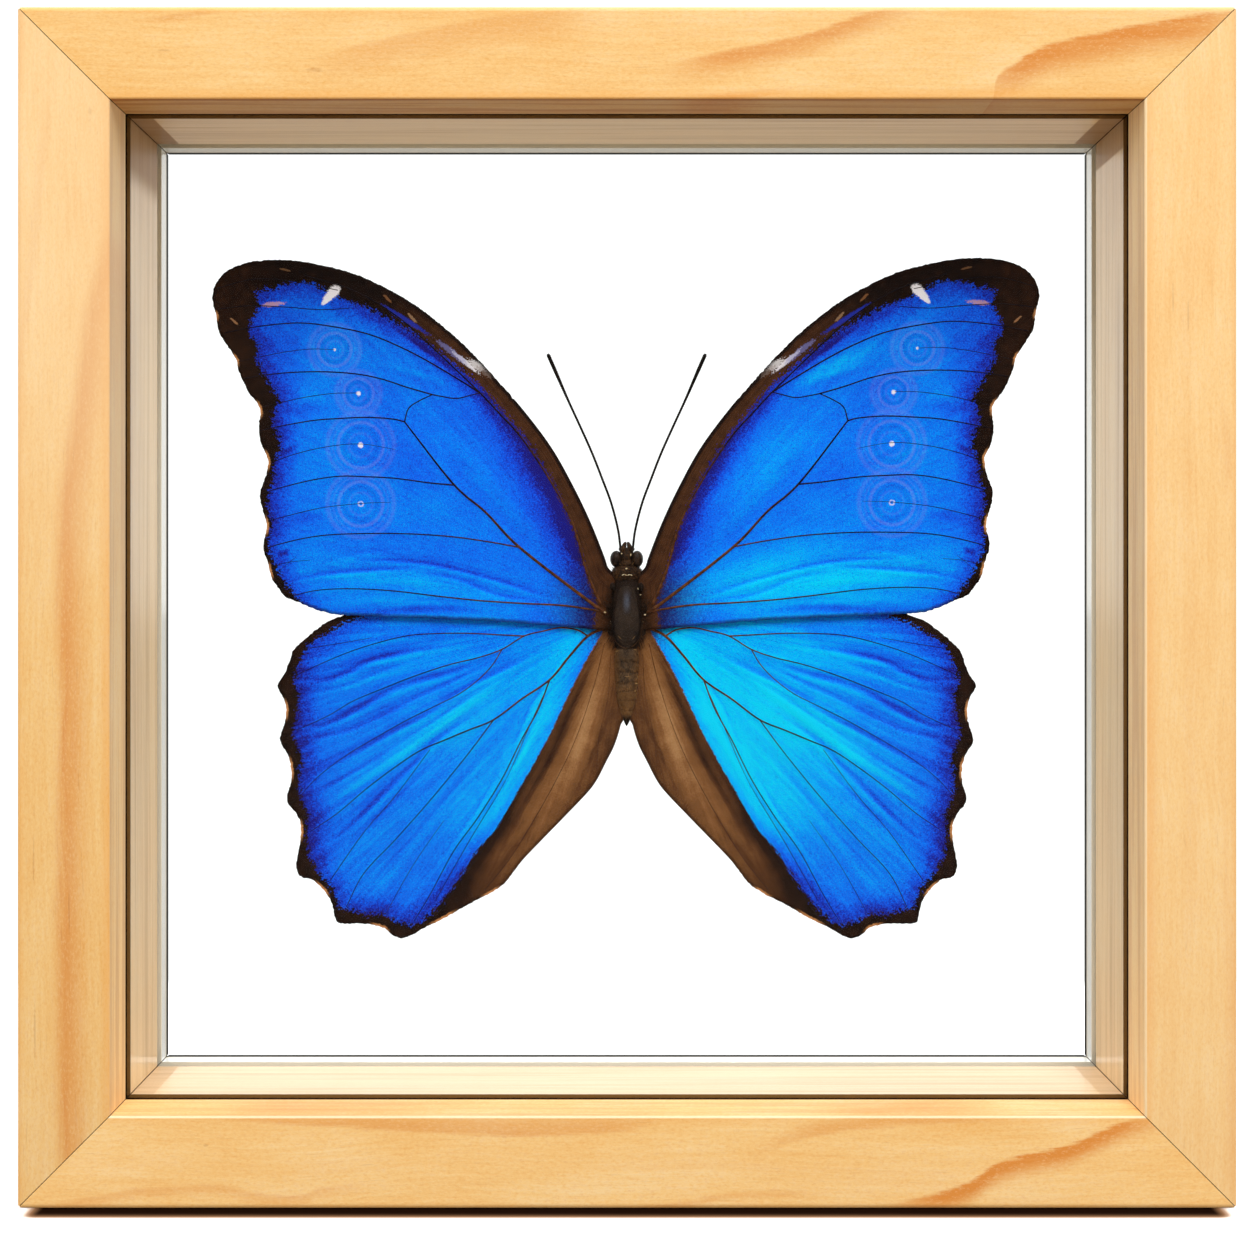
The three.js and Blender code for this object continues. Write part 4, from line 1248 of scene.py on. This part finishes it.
PLATE = [
    (-7.0, 0.06, 2.3), (-6.85, 0.75, 2.4), (-6.5, 1.35, 2.55), (-5.9, 1.95, 2.75), (-5.1, 2.4, 2.95),
    (-4.2, 2.75, 3.12),
    (-3.2, 3.0, 3.27), (-2.1, 3.1, 3.38), (-0.8, 2.85, 3.45), (0.6, 2.4, 3.45), (1.8, 2.0, 3.4),
    (2.8, 1.8, 3.3),
    (3.6, 1.78, 3.15), (4.2, 1.6, 3.0), (4.55, 1.1, 2.85), (4.7, 0.1, 2.7),
]
EYE_AT, EYE_SIZE = (1.88, -0.75, 9.2), (1.1, 1.4, 1.5)
SEGMENT_FOLDS = (-9.4, -11.2, -13.1, -14.6, -16.3, -18.0)


def row_at(rows, z):
    """The half width and the depth of a row."""
    heights, widths, depths = np.array(rows).T
    return np.interp(z, heights, widths), np.interp(z, heights, depths)


def loft(rows, turn, z, grow=0.0):
    """Points around a body that is as deep behind its axis as the trunk. Half a circle faces the viewer."""
    wide, deep = row_at(rows, z)
    if rows is TRUNK:
        # Each segment of the abdomen bulges between its folds.
        pinch = 0
        for fold in SEGMENT_FOLDS:
            pinch = pinch - 0.1 * np.exp(-(((z - fold - 0.18 * np.cos(turn * 2 + fold)) / 0.16) ** 2))
            pinch = pinch + 0.05 * np.exp(-(((z - fold - 0.55) / 0.5) ** 2))
        pinch = pinch * (z < -8.6)
        wide, deep = np.maximum(wide + pinch, 0.02), np.maximum(deep + pinch * 1.3, 0.02)
    x = (wide + grow) * np.cos(turn)
    front = np.sin(turn)
    y = BODY_Y - (deep + grow) * front
    if rows is PLATE:
        # Ridges follow the plate's rounded lower end, and a groove runs down its middle.
        low = np.abs(x) * 0.55 + np.abs(z + 7) * 0.5
        ring = z + 7 - x**2 * 0.3
        ridges = 0.05 * np.cos(ring * 2 * np.pi / 0.62) * np.clip(1 - low / 2.6, 0, 1)
        groove = 0.1 * np.exp(-((x / 0.1) ** 2))
        groove = groove * np.clip((z + 5.5) / 2, 0, 1) * np.clip((3.8 - z) / 2, 0, 1)
        y = y + (ridges + groove) * (front > 0.1)
    return np.stack([x, y, z + BUTTERFLY_Z], axis=-1)


def lofted(rows, spacing, sides):
    """A closed mesh from the rows, with a slightly grainy surface."""
    low, high = rows[0][0], rows[-1][0]
    heights = np.linspace(low, high, int((high - low) / spacing) + 1)
    turn = np.linspace(0, 2 * np.pi, sides, endpoint=False)
    z, t = np.meshgrid(heights, turn, indexing="ij")
    grain = 0.02 * np.sin(z * 9 + np.cos(t * 7) * 2) + 0.02 * np.sin(t * 13 + z * 4)
    grain += 0.012 * np.sin(t * 29 - z * 17)
    verts = loft(rows, t, z, grain * (z > low + 0.4)).reshape(-1, 3)
    last = len(heights) - 1
    faces = []
    for i in range(last):
        for k in range(sides):
            a, b = i * sides + k, i * sides + (k + 1) % sides
            faces.append((a, a + sides, b + sides, b))
    return verts, faces + [tuple(range(sides)), tuple(reversed(range(last * sides, (last + 1) * sides)))]


def blob(centre, size, rows=14, sides=24, wobble=0.0):
    """A closed egg shape with a slightly uneven surface."""
    verts = [(0.0, 0.0, -1.0)]
    for i in range(1, rows):
        lat = math.pi * i / rows - math.pi / 2
        for k in range(sides):
            turn = 2 * math.pi * k / sides
            uneven = 1 + wobble * math.sin(5 * turn + 7 * lat) * math.cos(lat)
            x = math.cos(lat) * math.cos(turn) * uneven
            y = math.cos(lat) * math.sin(turn) * uneven
            verts.append((x, y, math.sin(lat)))
    verts.append((0.0, 0.0, 1.0))
    top = len(verts) - 1
    faces = [(0, 1 + (k + 1) % sides, 1 + k) for k in range(sides)]
    for i in range(rows - 2):
        for k in range(sides):
            a, b = 1 + i * sides + k, 1 + i * sides + (k + 1) % sides
            faces.append((a, b, b + sides, a + sides))
    base = 1 + (rows - 2) * sides
    faces += [(top, base + k, base + (k + 1) % sides) for k in range(sides)]
    return np.array(verts) * np.array(size) + np.array(centre), faces


def at_body(x, y, z):
    """A place given from the thorax's middle line."""
    return (x, BODY_Y + y, z + BUTTERFLY_Z)


def hairs(roots, ways, lengths, width):
    """Fine bent spikes, as one mesh's vertices and faces."""
    verts, faces = [], []
    for root, way, length in zip(roots, ways, lengths):
        way = way / np.linalg.norm(way)
        side = np.cross(way, (0.3, 1, 0.2))
        side /= np.linalg.norm(side)
        other = np.cross(way, side)
        bend = np.array([0, 0.25 * length * 0.5, -0.1 * length])
        base = len(verts)
        for share, thick in ((-0.05, 1.0), (0.55, 0.75)):
            centre = root + way * length * share + bend * share**2
            for k in range(3):
                angle = 2 * math.pi * k / 3
                verts.append(centre + (side * math.cos(angle) + other * math.sin(angle)) * width * thick)
        verts.append(root + way * length + bend)
        for k in range(3):
            n = (k + 1) % 3
            faces.append((base + k, base + n, base + 3 + n, base + 3 + k))
            faces.append((base + 3 + k, base + 3 + n, base + 6))
        faces.append((base + 2, base + 1, base))
    return np.array(verts), faces


# Where short hairs grow on the trunk: lowest and highest place, how many, their length, how far they rise.
HAIR_ZONES = [(-18.6, -7.2, 1200, 0.62, 0.34), (-6.6, 4.6, 420, 0.5, 0.12), (5.4, 8, 420, 0.6, 0.3)]


def trunk_hairs():
    roots, ways, lengths = [], [], []
    for z_low, z_high, count, length, lift in HAIR_ZONES:
        z = random.uniform(z_low, z_high, count)
        turn = random.uniform(0, 2 * np.pi, count)
        here = loft(TRUNK, turn, z)
        away = here - np.stack([np.zeros(count), np.full(count, BODY_Y), here[:, 2]], axis=1)
        away /= np.linalg.norm(away, axis=1)[:, None]
        back = np.array([0, 0, -1.0]) if z_low < 5 else np.array([0, 0, 1.0])
        spread = random.normal(0, 0.2, (count, 3))
        roots.append(here)
        ways.append(back + away * lift + spread)
        lengths.append(length * random.uniform(0.5, 1.3, count))
    # Longer hairs fan out from the wing roots over the bases of the wings.
    for side in (-1, 1):
        count = 170
        z = random.uniform(-6.2, 3.4, count)
        x = row_at(TRUNK, z)[0] * 0.93
        y = np.full(count, FOREWING_Y - 0.5) + random.uniform(-0.3, 0.15, count)
        roots.append(np.stack([side * x, y, z + BUTTERFLY_Z], axis=1))
        fanned = np.interp(z, [-6.2, -2.5, 0, 3.4], [-75, -48, 12, 62])
        aim = np.radians(fanned + random.normal(0, 7, count))
        forward = random.uniform(-0.05, 0.04, count)
        ways.append(np.stack([side * np.cos(aim), forward, np.sin(aim)], axis=1))
        lengths.append(random.uniform(0.8, 2.4, count))
    return hairs(np.vstack(roots), np.vstack(ways), np.concatenate(lengths), 0.035)


# The half width of the plate over the thorax at each height from the thorax's middle.
PLATE_EDGE = [(-7, -0.3), (-6.7, 0.6), (-6.2, 1.1), (-5.3, 1.75), (-3.8, 2.15), (-1.6, 2.2), (1.4, 1.85),
    (3.2, 1.5), (4.0, 1.1), (4.4, -0.3)]


def body_surface():
    """Almost black sides, a dark plate with a painted bluish highlight, and a grey-brown abdomen with golden
    scales.
    """
    s = Shader("body_scales")
    x, y, z = s.millimetres()
    height = z - BUTTERFLY_Z
    point = s.vector(x, y, z)
    cloud, fine = s.noise(point, 0.7, 3, 0.6), s.noise(point, 4.2, 3, 0.7)
    thorax = s.ramp(cloud * 0.5 + fine * 0.5, (0.3, srgb(10, 6, 4)), (0.7, srgb(40, 26, 17)))
    half_width = s.curve(height, PLATE_EDGE)
    plate = s.step(half_width - abs(x) + (fine - 0.5) * 0.2, -0.05, 0.1)
    plate = plate * s.step(y, BODY_Y - 1.0, BODY_Y - 1.3)
    plate_tone = s.ramp(cloud * 0.5 + fine * 0.5, (0.3, srgb(26, 19, 15)), (0.7, srgb(62, 49, 39)))
    # Fine dark ridges follow the plate's rounded lower end.
    bow = height + 7 - x * x * 0.3
    ridges = s.band(s.math("PINGPONG", bow + (cloud - 0.5) * 0.4, 0.31), 0.0, 0.14)
    ridges = ridges * s.step(height, -1.5, -3.5)
    plate_tone = s.mix(ridges * 0.55, plate_tone, srgb(22, 15, 10))
    thorax = s.mix(plate, thorax, plate_tone)
    # A painted bluish highlight on the plate.
    painted_shine = s.band(x, 0.0, 0.9) * s.band(height, 1.5, 2.6) * plate * (fine * 1.2 - 0.05)
    thorax = s.mix(painted_shine, thorax, srgb(84, 90, 106))
    rim = s.band(bow, 0.16, 0.16) * s.step(height, -3.4, -4.4)
    thorax = s.mix(rim * fine * 1.2, thorax, srgb(116, 86, 58))
    collar = s.step(height, 5.2, 5.8) * s.step(fine + cloud * 0.4, 0.6, 0.95)
    thorax = s.mix(collar * 0.7, thorax, srgb(104, 70, 38))
    patchy = s.noise(point, 1.1, 3, 0.65, 0.8)
    abdomen = s.ramp(patchy * 0.6 + fine * 0.4, (0.36, srgb(24, 17, 12)), (0.64, srgb(90, 70, 51)))
    golden = s.most(s.step(height, -12.2, -15.5), s.step(abs(x), 0.9, 2.0) * 0.8)
    abdomen = s.mix(golden * (fine * 0.9 + 0.1), abdomen, srgb(128, 88, 48))
    abdomen = s.mix(s.step(height, -18.4, -20.0), abdomen, srgb(26, 17, 10))
    for fold in SEGMENT_FOLDS:
        crease = s.band(height + (cloud - 0.5) * 1.8, fold, 0.24) * 0.42
        abdomen = s.mix(crease, abdomen, srgb(30, 21, 14))
    colour = s.mix(s.step(height + (fine - 0.5) * 0.6, -6.7, -7.3), thorax, abdomen)
    return s.surface(
        Base_Color=colour,
        Roughness=0.6,
        Normal=s.bump(fine, 0.14, 0.8),
        Specular_IOR_Level=0.08,
    )


def body_hair():
    """Dark on the thorax and golden brown on the abdomen."""
    s = Shader("body_hair")
    x, y, z = s.millimetres()
    grain = s.noise(s.vector(x, y, z), 0.7, 3, 0.6)
    dark = s.ramp(grain, (0.32, srgb(24, 15, 10)), (0.68, srgb(62, 41, 26)))
    golden = s.ramp(grain, (0.32, srgb(66, 44, 26)), (0.68, srgb(140, 100, 60)))
    colour = s.mix(s.step(z, BUTTERFLY_Z - 7.5, BUTTERFLY_Z - 10), dark, golden)
    return s.surface(Base_Color=colour, Roughness=0.6, Specular_IOR_Level=0.06)


def eye_surface():
    """A dark compound eye with fine facets."""
    s = Shader("compound_eye")
    x, y, z = s.millimetres()
    point = s.vector(x, y, z)
    facets = s.cells(point, 6.0)
    tint = s.noise(point, 0.9, 2)
    brown = s.ramp(tint + (facets - 0.4) * -0.3, (0.35, srgb(20, 12, 8)), (0.62, srgb(54, 36, 22)))
    rim = s.distance(abs(x) - EYE_AT[0], z - EYE_AT[2] - BUTTERFLY_Z)
    brown = s.mix(s.step(rim, 1.1, 1.38), brown, srgb(10, 7, 5))
    return s.surface(
        Base_Color=brown,
        Roughness=0.3,
        Normal=s.bump(facets, 0.1, 0.5),
        Specular_IOR_Level=0.12,
    )


scales_dark = body_surface()
antenna_black = dark_brown("antenna_black", srgb(10, 7, 6), srgb(26, 17, 12), 1.2, 0.5, 0.03)
leg_brown = dark_brown("leg_brown", srgb(28, 18, 12), srgb(64, 44, 28), 1.0, 0.5)
fleck_cream = dark_brown("cream_scales", srgb(190, 160, 110), srgb(250, 236, 200), 1.5, 0.6)

trunk_parts = [lofted(TRUNK, 0.16, 56), lofted(PLATE, 0.12, 64)]
body = make_piece("butterfly_trunk", *joined(trunk_parts), [scales_dark])
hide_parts("butterfly_body")

PALP = [(0.6, -0.5, 9.8), (0.62, -1.0, 10.9), (0.4, -0.9, 11.7), (0.16, -0.7, 12.3)]
head_parts = [
    blob(at_body(0, 0.1, 8.9), (1.8, 1.6, 1.6), wobble=0.03),
    blob(at_body(0, -0.7, 8.3), (1.25, 1.5, 0.95), wobble=0.05),
    blob(at_body(0, -1.0, 9.6), (0.95, 1.0, 1.5), wobble=0.05),
    blob(at_body(0, -0.2, 10.6), (1.25, 1.1, 0.7), wobble=0.05),
]
for side in (-1, 1):
    head_parts.append(blob(at_body(side * 1.08, -0.5, 11.0), (0.36, 0.36, 0.42), 8, 12))
    head_parts.append(blob(at_body(side * 0.55, -1.35, 9.4), (0.3, 0.34, 0.8), 8, 12, 0.06))
    # The palps curve forward and up in front of the face.
    palp = smooth_line([at_body(side * x, y, z) for x, y, z in PALP], 0.15)
    share = np.linspace(0, 1, len(palp))
    head_parts.append(tube(palp, 0.5 * np.sqrt(1 - share**2.2) + 0.05, 10))
    # The plates over the wing roots.
    head_parts.append(blob(at_body(side * 2.55, -1.7, 4.2), (0.5, 0.5, 0.75), wobble=0.04))
    head_parts.append(blob(at_body(side * 3.0, -0.9, 0.2), (0.75, 0.5, 1.15), wobble=0.06))
    head_parts.append(blob(at_body(side * 2.75, -0.6, -3.6), (0.7, 0.5, 1.2), wobble=0.06))
head = make_piece("butterfly_head", *joined(head_parts), [scales_dark])

eye_parts = [blob(at_body(side * EYE_AT[0], *EYE_AT[1:]), EYE_SIZE, 20, 30) for side in (-1, 1)]
eyes = make_piece("butterfly_eyes", *joined(eye_parts), [eye_surface()])

hair = make_piece("butterfly_hair", *trunk_hairs(), [body_hair()])

# Cream scales, as (x, height, half width, half height, turn), on the front of the body.
CREAM_FLECKS = [
    (-2.3, 4.0, 0.26, 0.15, -35), (2.05, 3.85, 0.2, 0.17, 0), (-2.62, 2.6, 0.18, 0.13, 10),
    (2.45, 2.75, 0.34, 0.09, 6),
    (-0.62, 6.35, 0.3, 0.07, 25), (-0.15, 6.3, 0.24, 0.07, -20), (0.35, 6.32, 0.24, 0.07, 20),
    (0.8, 6.3, 0.22, 0.07, -25),
    (-0.05, 7.45, 0.2, 0.14, 10), (0.72, 9.9, 0.1, 0.22, -10), (-0.9, 10.15, 0.1, 0.14, 30),
    (-2.85, -2.2, 0.1, 0.3, 8),
    (2.9, -2.2, 0.09, 0.26, -22), (2.6, 5.25, 0.1, 0.12, 0), (-1.44, 9.36, 0.08, 0.08, 0),
]
# Tan lines of scales.
TAN_LINES = [
    (-1.6, -7.35, 0.55, 0.06, 24), (-2.0, -7.9, 0.3, 0.05, 55), (1.3, -7.1, 0.6, 0.05, -8),
    (1.98, -7.7, 0.34, 0.05, -58),
    (-1.6, -15.7, 0.07, 0.5, 12), (-1.86, -14.4, 0.06, 0.4, 8), (1.9, -12.1, 0.3, 0.16, 20),
    (1.62, -13.2, 0.34, 0.14, -10),
    (1.5, -14.6, 0.26, 0.12, 24), (1.3, -4.9, 0.5, 0.035, 50), (-1.25, -4.9, 0.5, 0.035, -50),
    (-1.4, 8.5, 0.04, 0.5, 40),
    (1.24, 8.5, 0.04, 0.55, -36), (-2.5, -4.4, 0.045, 0.7, -24), (2.55, -4.3, 0.045, 0.7, 24),
    (0, -11.9, 0.5, 0.05, 0),
]


def front_of_body(x, height):
    """The depth of the body's front at a place, from its axis."""
    if height > 8:
        return -2.0 * math.sqrt(max(0.05, 1 - (x / 2) ** 2)) - 0.1
    depth = 0.0
    for rows in (TRUNK, PLATE):
        if rows[0][0] < height < rows[-1][0]:
            wide, deep = row_at(rows, height)
            depth = max(depth, deep * math.sqrt(max(0.02, 1 - (x / wide) ** 2)) if abs(x) < wide else 0.0)
    return -depth


def scale_marks(name, places, material, more=()):
    flecks = list(more)
    for x, height, wide, tall, turn in places:
        verts, faces = blob((0, 0, 0), (wide, 0.07, tall), 6, 10, 0.12)
        c, s = math.cos(math.radians(turn)), math.sin(math.radians(turn))
        verts = verts @ np.array([[c, 0, s], [0, 1, 0], [-s, 0, c]])
        flecks.append((verts + np.array(at_body(x, front_of_body(x, height) - 0.03, height)), faces))
    piece = make_piece(name, *joined(flecks), [material])


# A cream fleck on each wing root, as (x, height).
roots = [
    blob((x, FOREWING_Y - 0.6, z + BUTTERFLY_Z), (0.2, 0.12, 0.14), 6, 10)
    for x, z in ((-3.9, -0.4), (3.3, -0.84))
]
scale_marks("cream_flecks", CREAM_FLECKS, fleck_cream, roots)
scale_marks("tan_scales", TAN_LINES, dark_brown("tan_scales", srgb(120, 88, 52), srgb(168, 130, 84), 1.5))

ANTENNA = [(1.12, 11.3), (1.6, 14.7), (2.8, 19.3), (4.4, 23.6), (6.2, 28.2), (8.3, 32.9), (10.6, 37.9),
    (12.7, 42.7), (14.2, 46.1)]
LEGS = {
    "mid": [(2, 9.2, 0.5), (4.6, 9, -2.5), (2.8, 10.3, -6.5), (1.6, 10.5, -10.5)],
    "hind": [(1.8, 9, -3.5), (4.4, 8.6, -8), (2.2, 9.7, -12.5), (1, 10.2, -16.5)],
}
for word, side in (("left", -1), ("right", 1)):
    line = smooth_line([(side * x, 5.3, z + BUTTERFLY_Z) for x, z in ANTENNA], 0.15)
    share = np.linspace(0, 1, len(line))
    club = np.clip((share - 0.72) / 0.2, 0, 1)
    radii = (0.21 + 0.13 * club**1.3) * (1 + 0.05 * np.sin(np.arange(len(line)) * 2.1))
    radii *= np.sqrt(np.clip((1.004 - share) / 0.012, 0.02, 1))
    antenna = make_piece(f"antenna_{word}_shaft", *tube(line, radii, 10), [antenna_black])
    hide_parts(f"antenna_{word}")
    for pair, joints in LEGS.items():
        joints = np.array([(side * x, y, z + BUTTERFLY_Z) for x, y, z in joints])
        parts = []
        for a, b, first, last in zip(joints, joints[1:], (0.3, 0.2, 0.13), (0.19, 0.14, 0.09)):
            share = np.linspace(0, 1, 14)
            line = a + (b - a) * share[:, None] + np.array([0, -0.12, 0]) * np.sin(np.pi * share)[:, None]
            radii = (first + (last - first) * share) * (0.82 + 0.3 * np.sin(np.pi * share))
            parts.append(tube(line, radii, 9))
            parts.append(blob(b, (last * 1.15,) * 3, 8, 10))
        spines = np.linspace(0.1, 0.9, 12)[:, None]
        roots = joints[1] + (joints[2] - joints[1]) * spines
        ways = (joints[2] - joints[1]) / 4 + random.normal(0, 0.5, (12, 3))
        parts.append(hairs(roots, ways, np.full(12, 0.55), 0.03))
        claw = joints[3] + np.array([[0, 0, 0], [side * 0.12, 0.05, -0.25], [side * 0.05, 0.15, -0.42]])
        parts.append(tube(claw, (0.07, 0.05, 0.015), 6))
        leg = make_piece(f"{pair}_leg_{word}_jointed", *joined(parts), [leg_brown])
        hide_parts(f"{pair}_leg_{word}")


def adhesive():
    """A clear drop, drawn in at its middle, between the thorax and the back glass."""
    s = Shader("clear_adhesive")
    x, y, z = s.millimetres()
    cloud = s.noise(s.vector(x, y, z), 0.8, 2)
    material = s.surface(
        Base_Color=s.ramp(cloud, (0.3, srgb(214, 220, 220)), (0.7, srgb(240, 243, 243))),
        Roughness=0.12,
        Alpha=0.55,
        Normal=s.bump(cloud, 0.1, 0.3),
        Coat_Weight=0.5,
    )
    low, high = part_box("adhesive_dot")
    near, far = low.y / MM - 0.3, high.y / MM
    depths = [near, near + 0.05, near + 0.2, (near + far) / 2, far - 0.3, far - 0.1, far]
    widths = [0.5, 1.2, 1.5, 1.42, 1.55, 1.72, 1.78]
    line = smooth_line([(0.0, y, BUTTERFLY_Z - 1) for y in depths], 0.06)
    radii = np.interp(line[:, 1], depths, widths)
    drop = make_piece("adhesive_drop", *tube(line, radii, 36), [material])
    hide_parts("adhesive_dot")


adhesive()

# ---- Floor, camera and light ----
# How bright the world is in front, behind, above and beside, and where the camera sees it directly.
WORLD_FRONT, WORLD_BACK, WORLD_TOP, WORLD_SIDE = 0.24, 1.0, 0.15, 0.62
SEEN_WHITE = 1.2


def lit_world():
    """White where the camera looks, bright behind, above and beside, and dim in front for clear glass."""
    world = bpy.data.worlds.new("studio")
    world.use_nodes = True
    tree = world.node_tree
    tree.nodes.clear()

    def node(kind, **settings):
        made = tree.nodes.new("ShaderNode" + kind)
        for key, value in settings.items():
            setattr(made, key, value)
        return made

    def rise(value, from_low, from_high, to_low, to_high):
        """A smooth rise from to_low, where the value is from_low, to to_high, where it is from_high."""
        made = node("MapRange", interpolation_type="SMOOTHSTEP")
        tree.links.new(value, made.inputs["Value"])
        numbers = {"From Min": from_low, "From Max": from_high, "To Min": to_low, "To Max": to_high}
        for key, number in numbers.items():
            made.inputs[key].default_value = number
        return made.outputs[0]

    def added(first, second):
        made = node("Math", operation="ADD")
        tree.links.new(first, made.inputs[0])
        tree.links.new(second, made.inputs[1])
        return made.outputs[0]

    parts = node("SeparateXYZ")
    tree.links.new(node("TexCoord").outputs["Generated"], parts.inputs[0])
    sideways = node("Math", operation="ABSOLUTE")
    tree.links.new(parts.outputs["X"], sideways.inputs[0])
    behind = rise(parts.outputs["Y"], -0.45, 0.25, WORLD_FRONT, WORLD_BACK)
    above = rise(parts.outputs["Z"], 0.1, 0.8, 0, WORLD_TOP)
    beside = rise(sideways.outputs[0], 0.45, 0.85, 0, WORLD_SIDE)
    brightness = node("Mix")
    tree.links.new(node("LightPath").outputs["Is Camera Ray"], brightness.inputs["Factor"])
    tree.links.new(added(added(behind, above), beside), brightness.inputs["A"])
    brightness.inputs["B"].default_value = SEEN_WHITE
    background = node("Background")
    background.inputs["Color"].default_value = (1, 1, 1, 1)
    tree.links.new(brightness.outputs[0], background.inputs["Strength"])
    tree.links.new(background.outputs[0], node("OutputWorld").inputs["Surface"])
    bpy.context.scene.world = world


lit_world()


def area_light(name, place, size, power):
    """A round studio light that points at the middle of the frame."""
    data = bpy.data.lights.new(name, "AREA")
    data.shape = "DISK"
    data.size = size
    data.energy = power
    light = bpy.data.objects.new(name, data)
    light.location = place
    aim = Vector((0, 0, 0.1)) - Vector(place)
    light.rotation_euler = aim.to_track_quat("-Z", "Y").to_euler()
    bpy.context.scene.collection.objects.link(light)


area_light("key", (0.05, -0.95, 1.3), 0.9, 23.5)
area_light("top", (0.05, 0.15, 1.3), 1.0, 5)

# The floor's radius, how far it lies under the frame, both in metres, and the reach of the contact shadow in
# millimetres.
FLOOR_RADIUS, FLOOR_DROP = 6, 0.00002
SHADOW_REACH = 4.8


def floor_white():
    """White, with a warm contact shadow around the frame's foot."""
    s = Shader("floor_white")
    seen, mirrored = (s.node("LightPath", {}, out=f"Is {kind} Ray") for kind in ("Camera", "Glossy"))
    x, depth, _ = s.millimetres()
    # The contact shadow grows out of the frame's foot, and shows less beside it than before and behind it.
    outside = s.most(abs(x) - FRAME_WIDTH / 2, abs(depth) - FRAME_DEPTH / 2)
    darkened = s.math("POWER", s.step(outside, 0, SHADOW_REACH), 4)
    beside = s.step(abs(x), 97, 101) * 0.97
    open_share = darkened + (1 - darkened) * beside
    warm = s.ramp(
        open_share,
        (0.0, BLACK),
        (0.3, (0.2, 0.1, 0.045, 1)),
        (0.65, (0.62, 0.5, 0.4, 1)),
        (1.0, (1, 1, 1, 1)),
    )
    shaded = s.ramp(
        open_share,
        (0.0, (0.01, 0.004, 0.002, 1)),
        (0.5, (0.2, 0.11, 0.06, 1)),
        (1.0, (0.95, 0.95, 0.95, 1)),
    )
    diffuse = s.node("BsdfDiffuse", {"Color": shaded})
    glow = s.node("Emission", {"Color": warm, "Strength": 0.8})
    near = s.node("AddShader", {0: diffuse, 1: glow})
    # Away from the frame no shadow falls, and the floor is as white as the world around it.
    close = s.step(abs(x), 180, 170) * s.step(abs(depth), 150, 140)
    plain = s.node("Emission", {"Color": (1, 1, 1, 1), "Strength": SEEN_WHITE})
    shown = s.node("MixShader", {0: close, 1: plain, 2: near})
    # Light that the floor throws back is dimmer and warmer than the floor looks.
    unseen = s.mix(mirrored, (0.36, 0.31, 0.24, 1), (0.3, 0.29, 0.28, 1))
    thrown = s.node("BsdfDiffuse", {"Color": unseen})
    material = s.output(s.node("MixShader", {0: seen, 1: thrown, 2: shown}))
    # The floor glows for the camera alone, so it lights nothing.
    material.cycles.emission_sampling = "NONE"
    return material


def pale_floor():
    mesh = bpy.data.meshes.new("floor")
    editing = bmesh.new()
    bmesh.ops.create_circle(editing, cap_ends=True, radius=FLOOR_RADIUS, segments=96)
    editing.to_mesh(mesh)
    editing.free()
    floor = bpy.data.objects.new("floor", mesh)
    floor.location.z = -FLOOR_DROP
    bpy.context.scene.collection.objects.link(floor)
    paint(floor, floor_white())


pale_floor()

# The photo's view. The camera looks level, and the shift, in the photo's pixels, sets the framing.
PHOTO_SIZE = 1254
SHIFT_X, SHIFT_Y = 6, -44
CAMERA_AT = (-0.00102, -0.310, 0.10407)
camera_data = bpy.data.cameras.new("camera")
camera_data.sensor_width = 36
camera_data.lens = 50.29
camera_data.shift_x = SHIFT_X / PHOTO_SIZE
camera_data.shift_y = SHIFT_Y / PHOTO_SIZE
camera_data.clip_start, camera_data.clip_end = 0.01, 50
camera = bpy.data.objects.new("camera", camera_data)
camera.location = CAMERA_AT
camera.rotation_euler = (math.radians(90), 0, 0)
bpy.context.scene.collection.objects.link(camera)
bpy.context.scene.camera = camera
bpy.context.scene.view_settings.view_transform = "Standard"
bpy.context.scene.view_settings.look = "None"
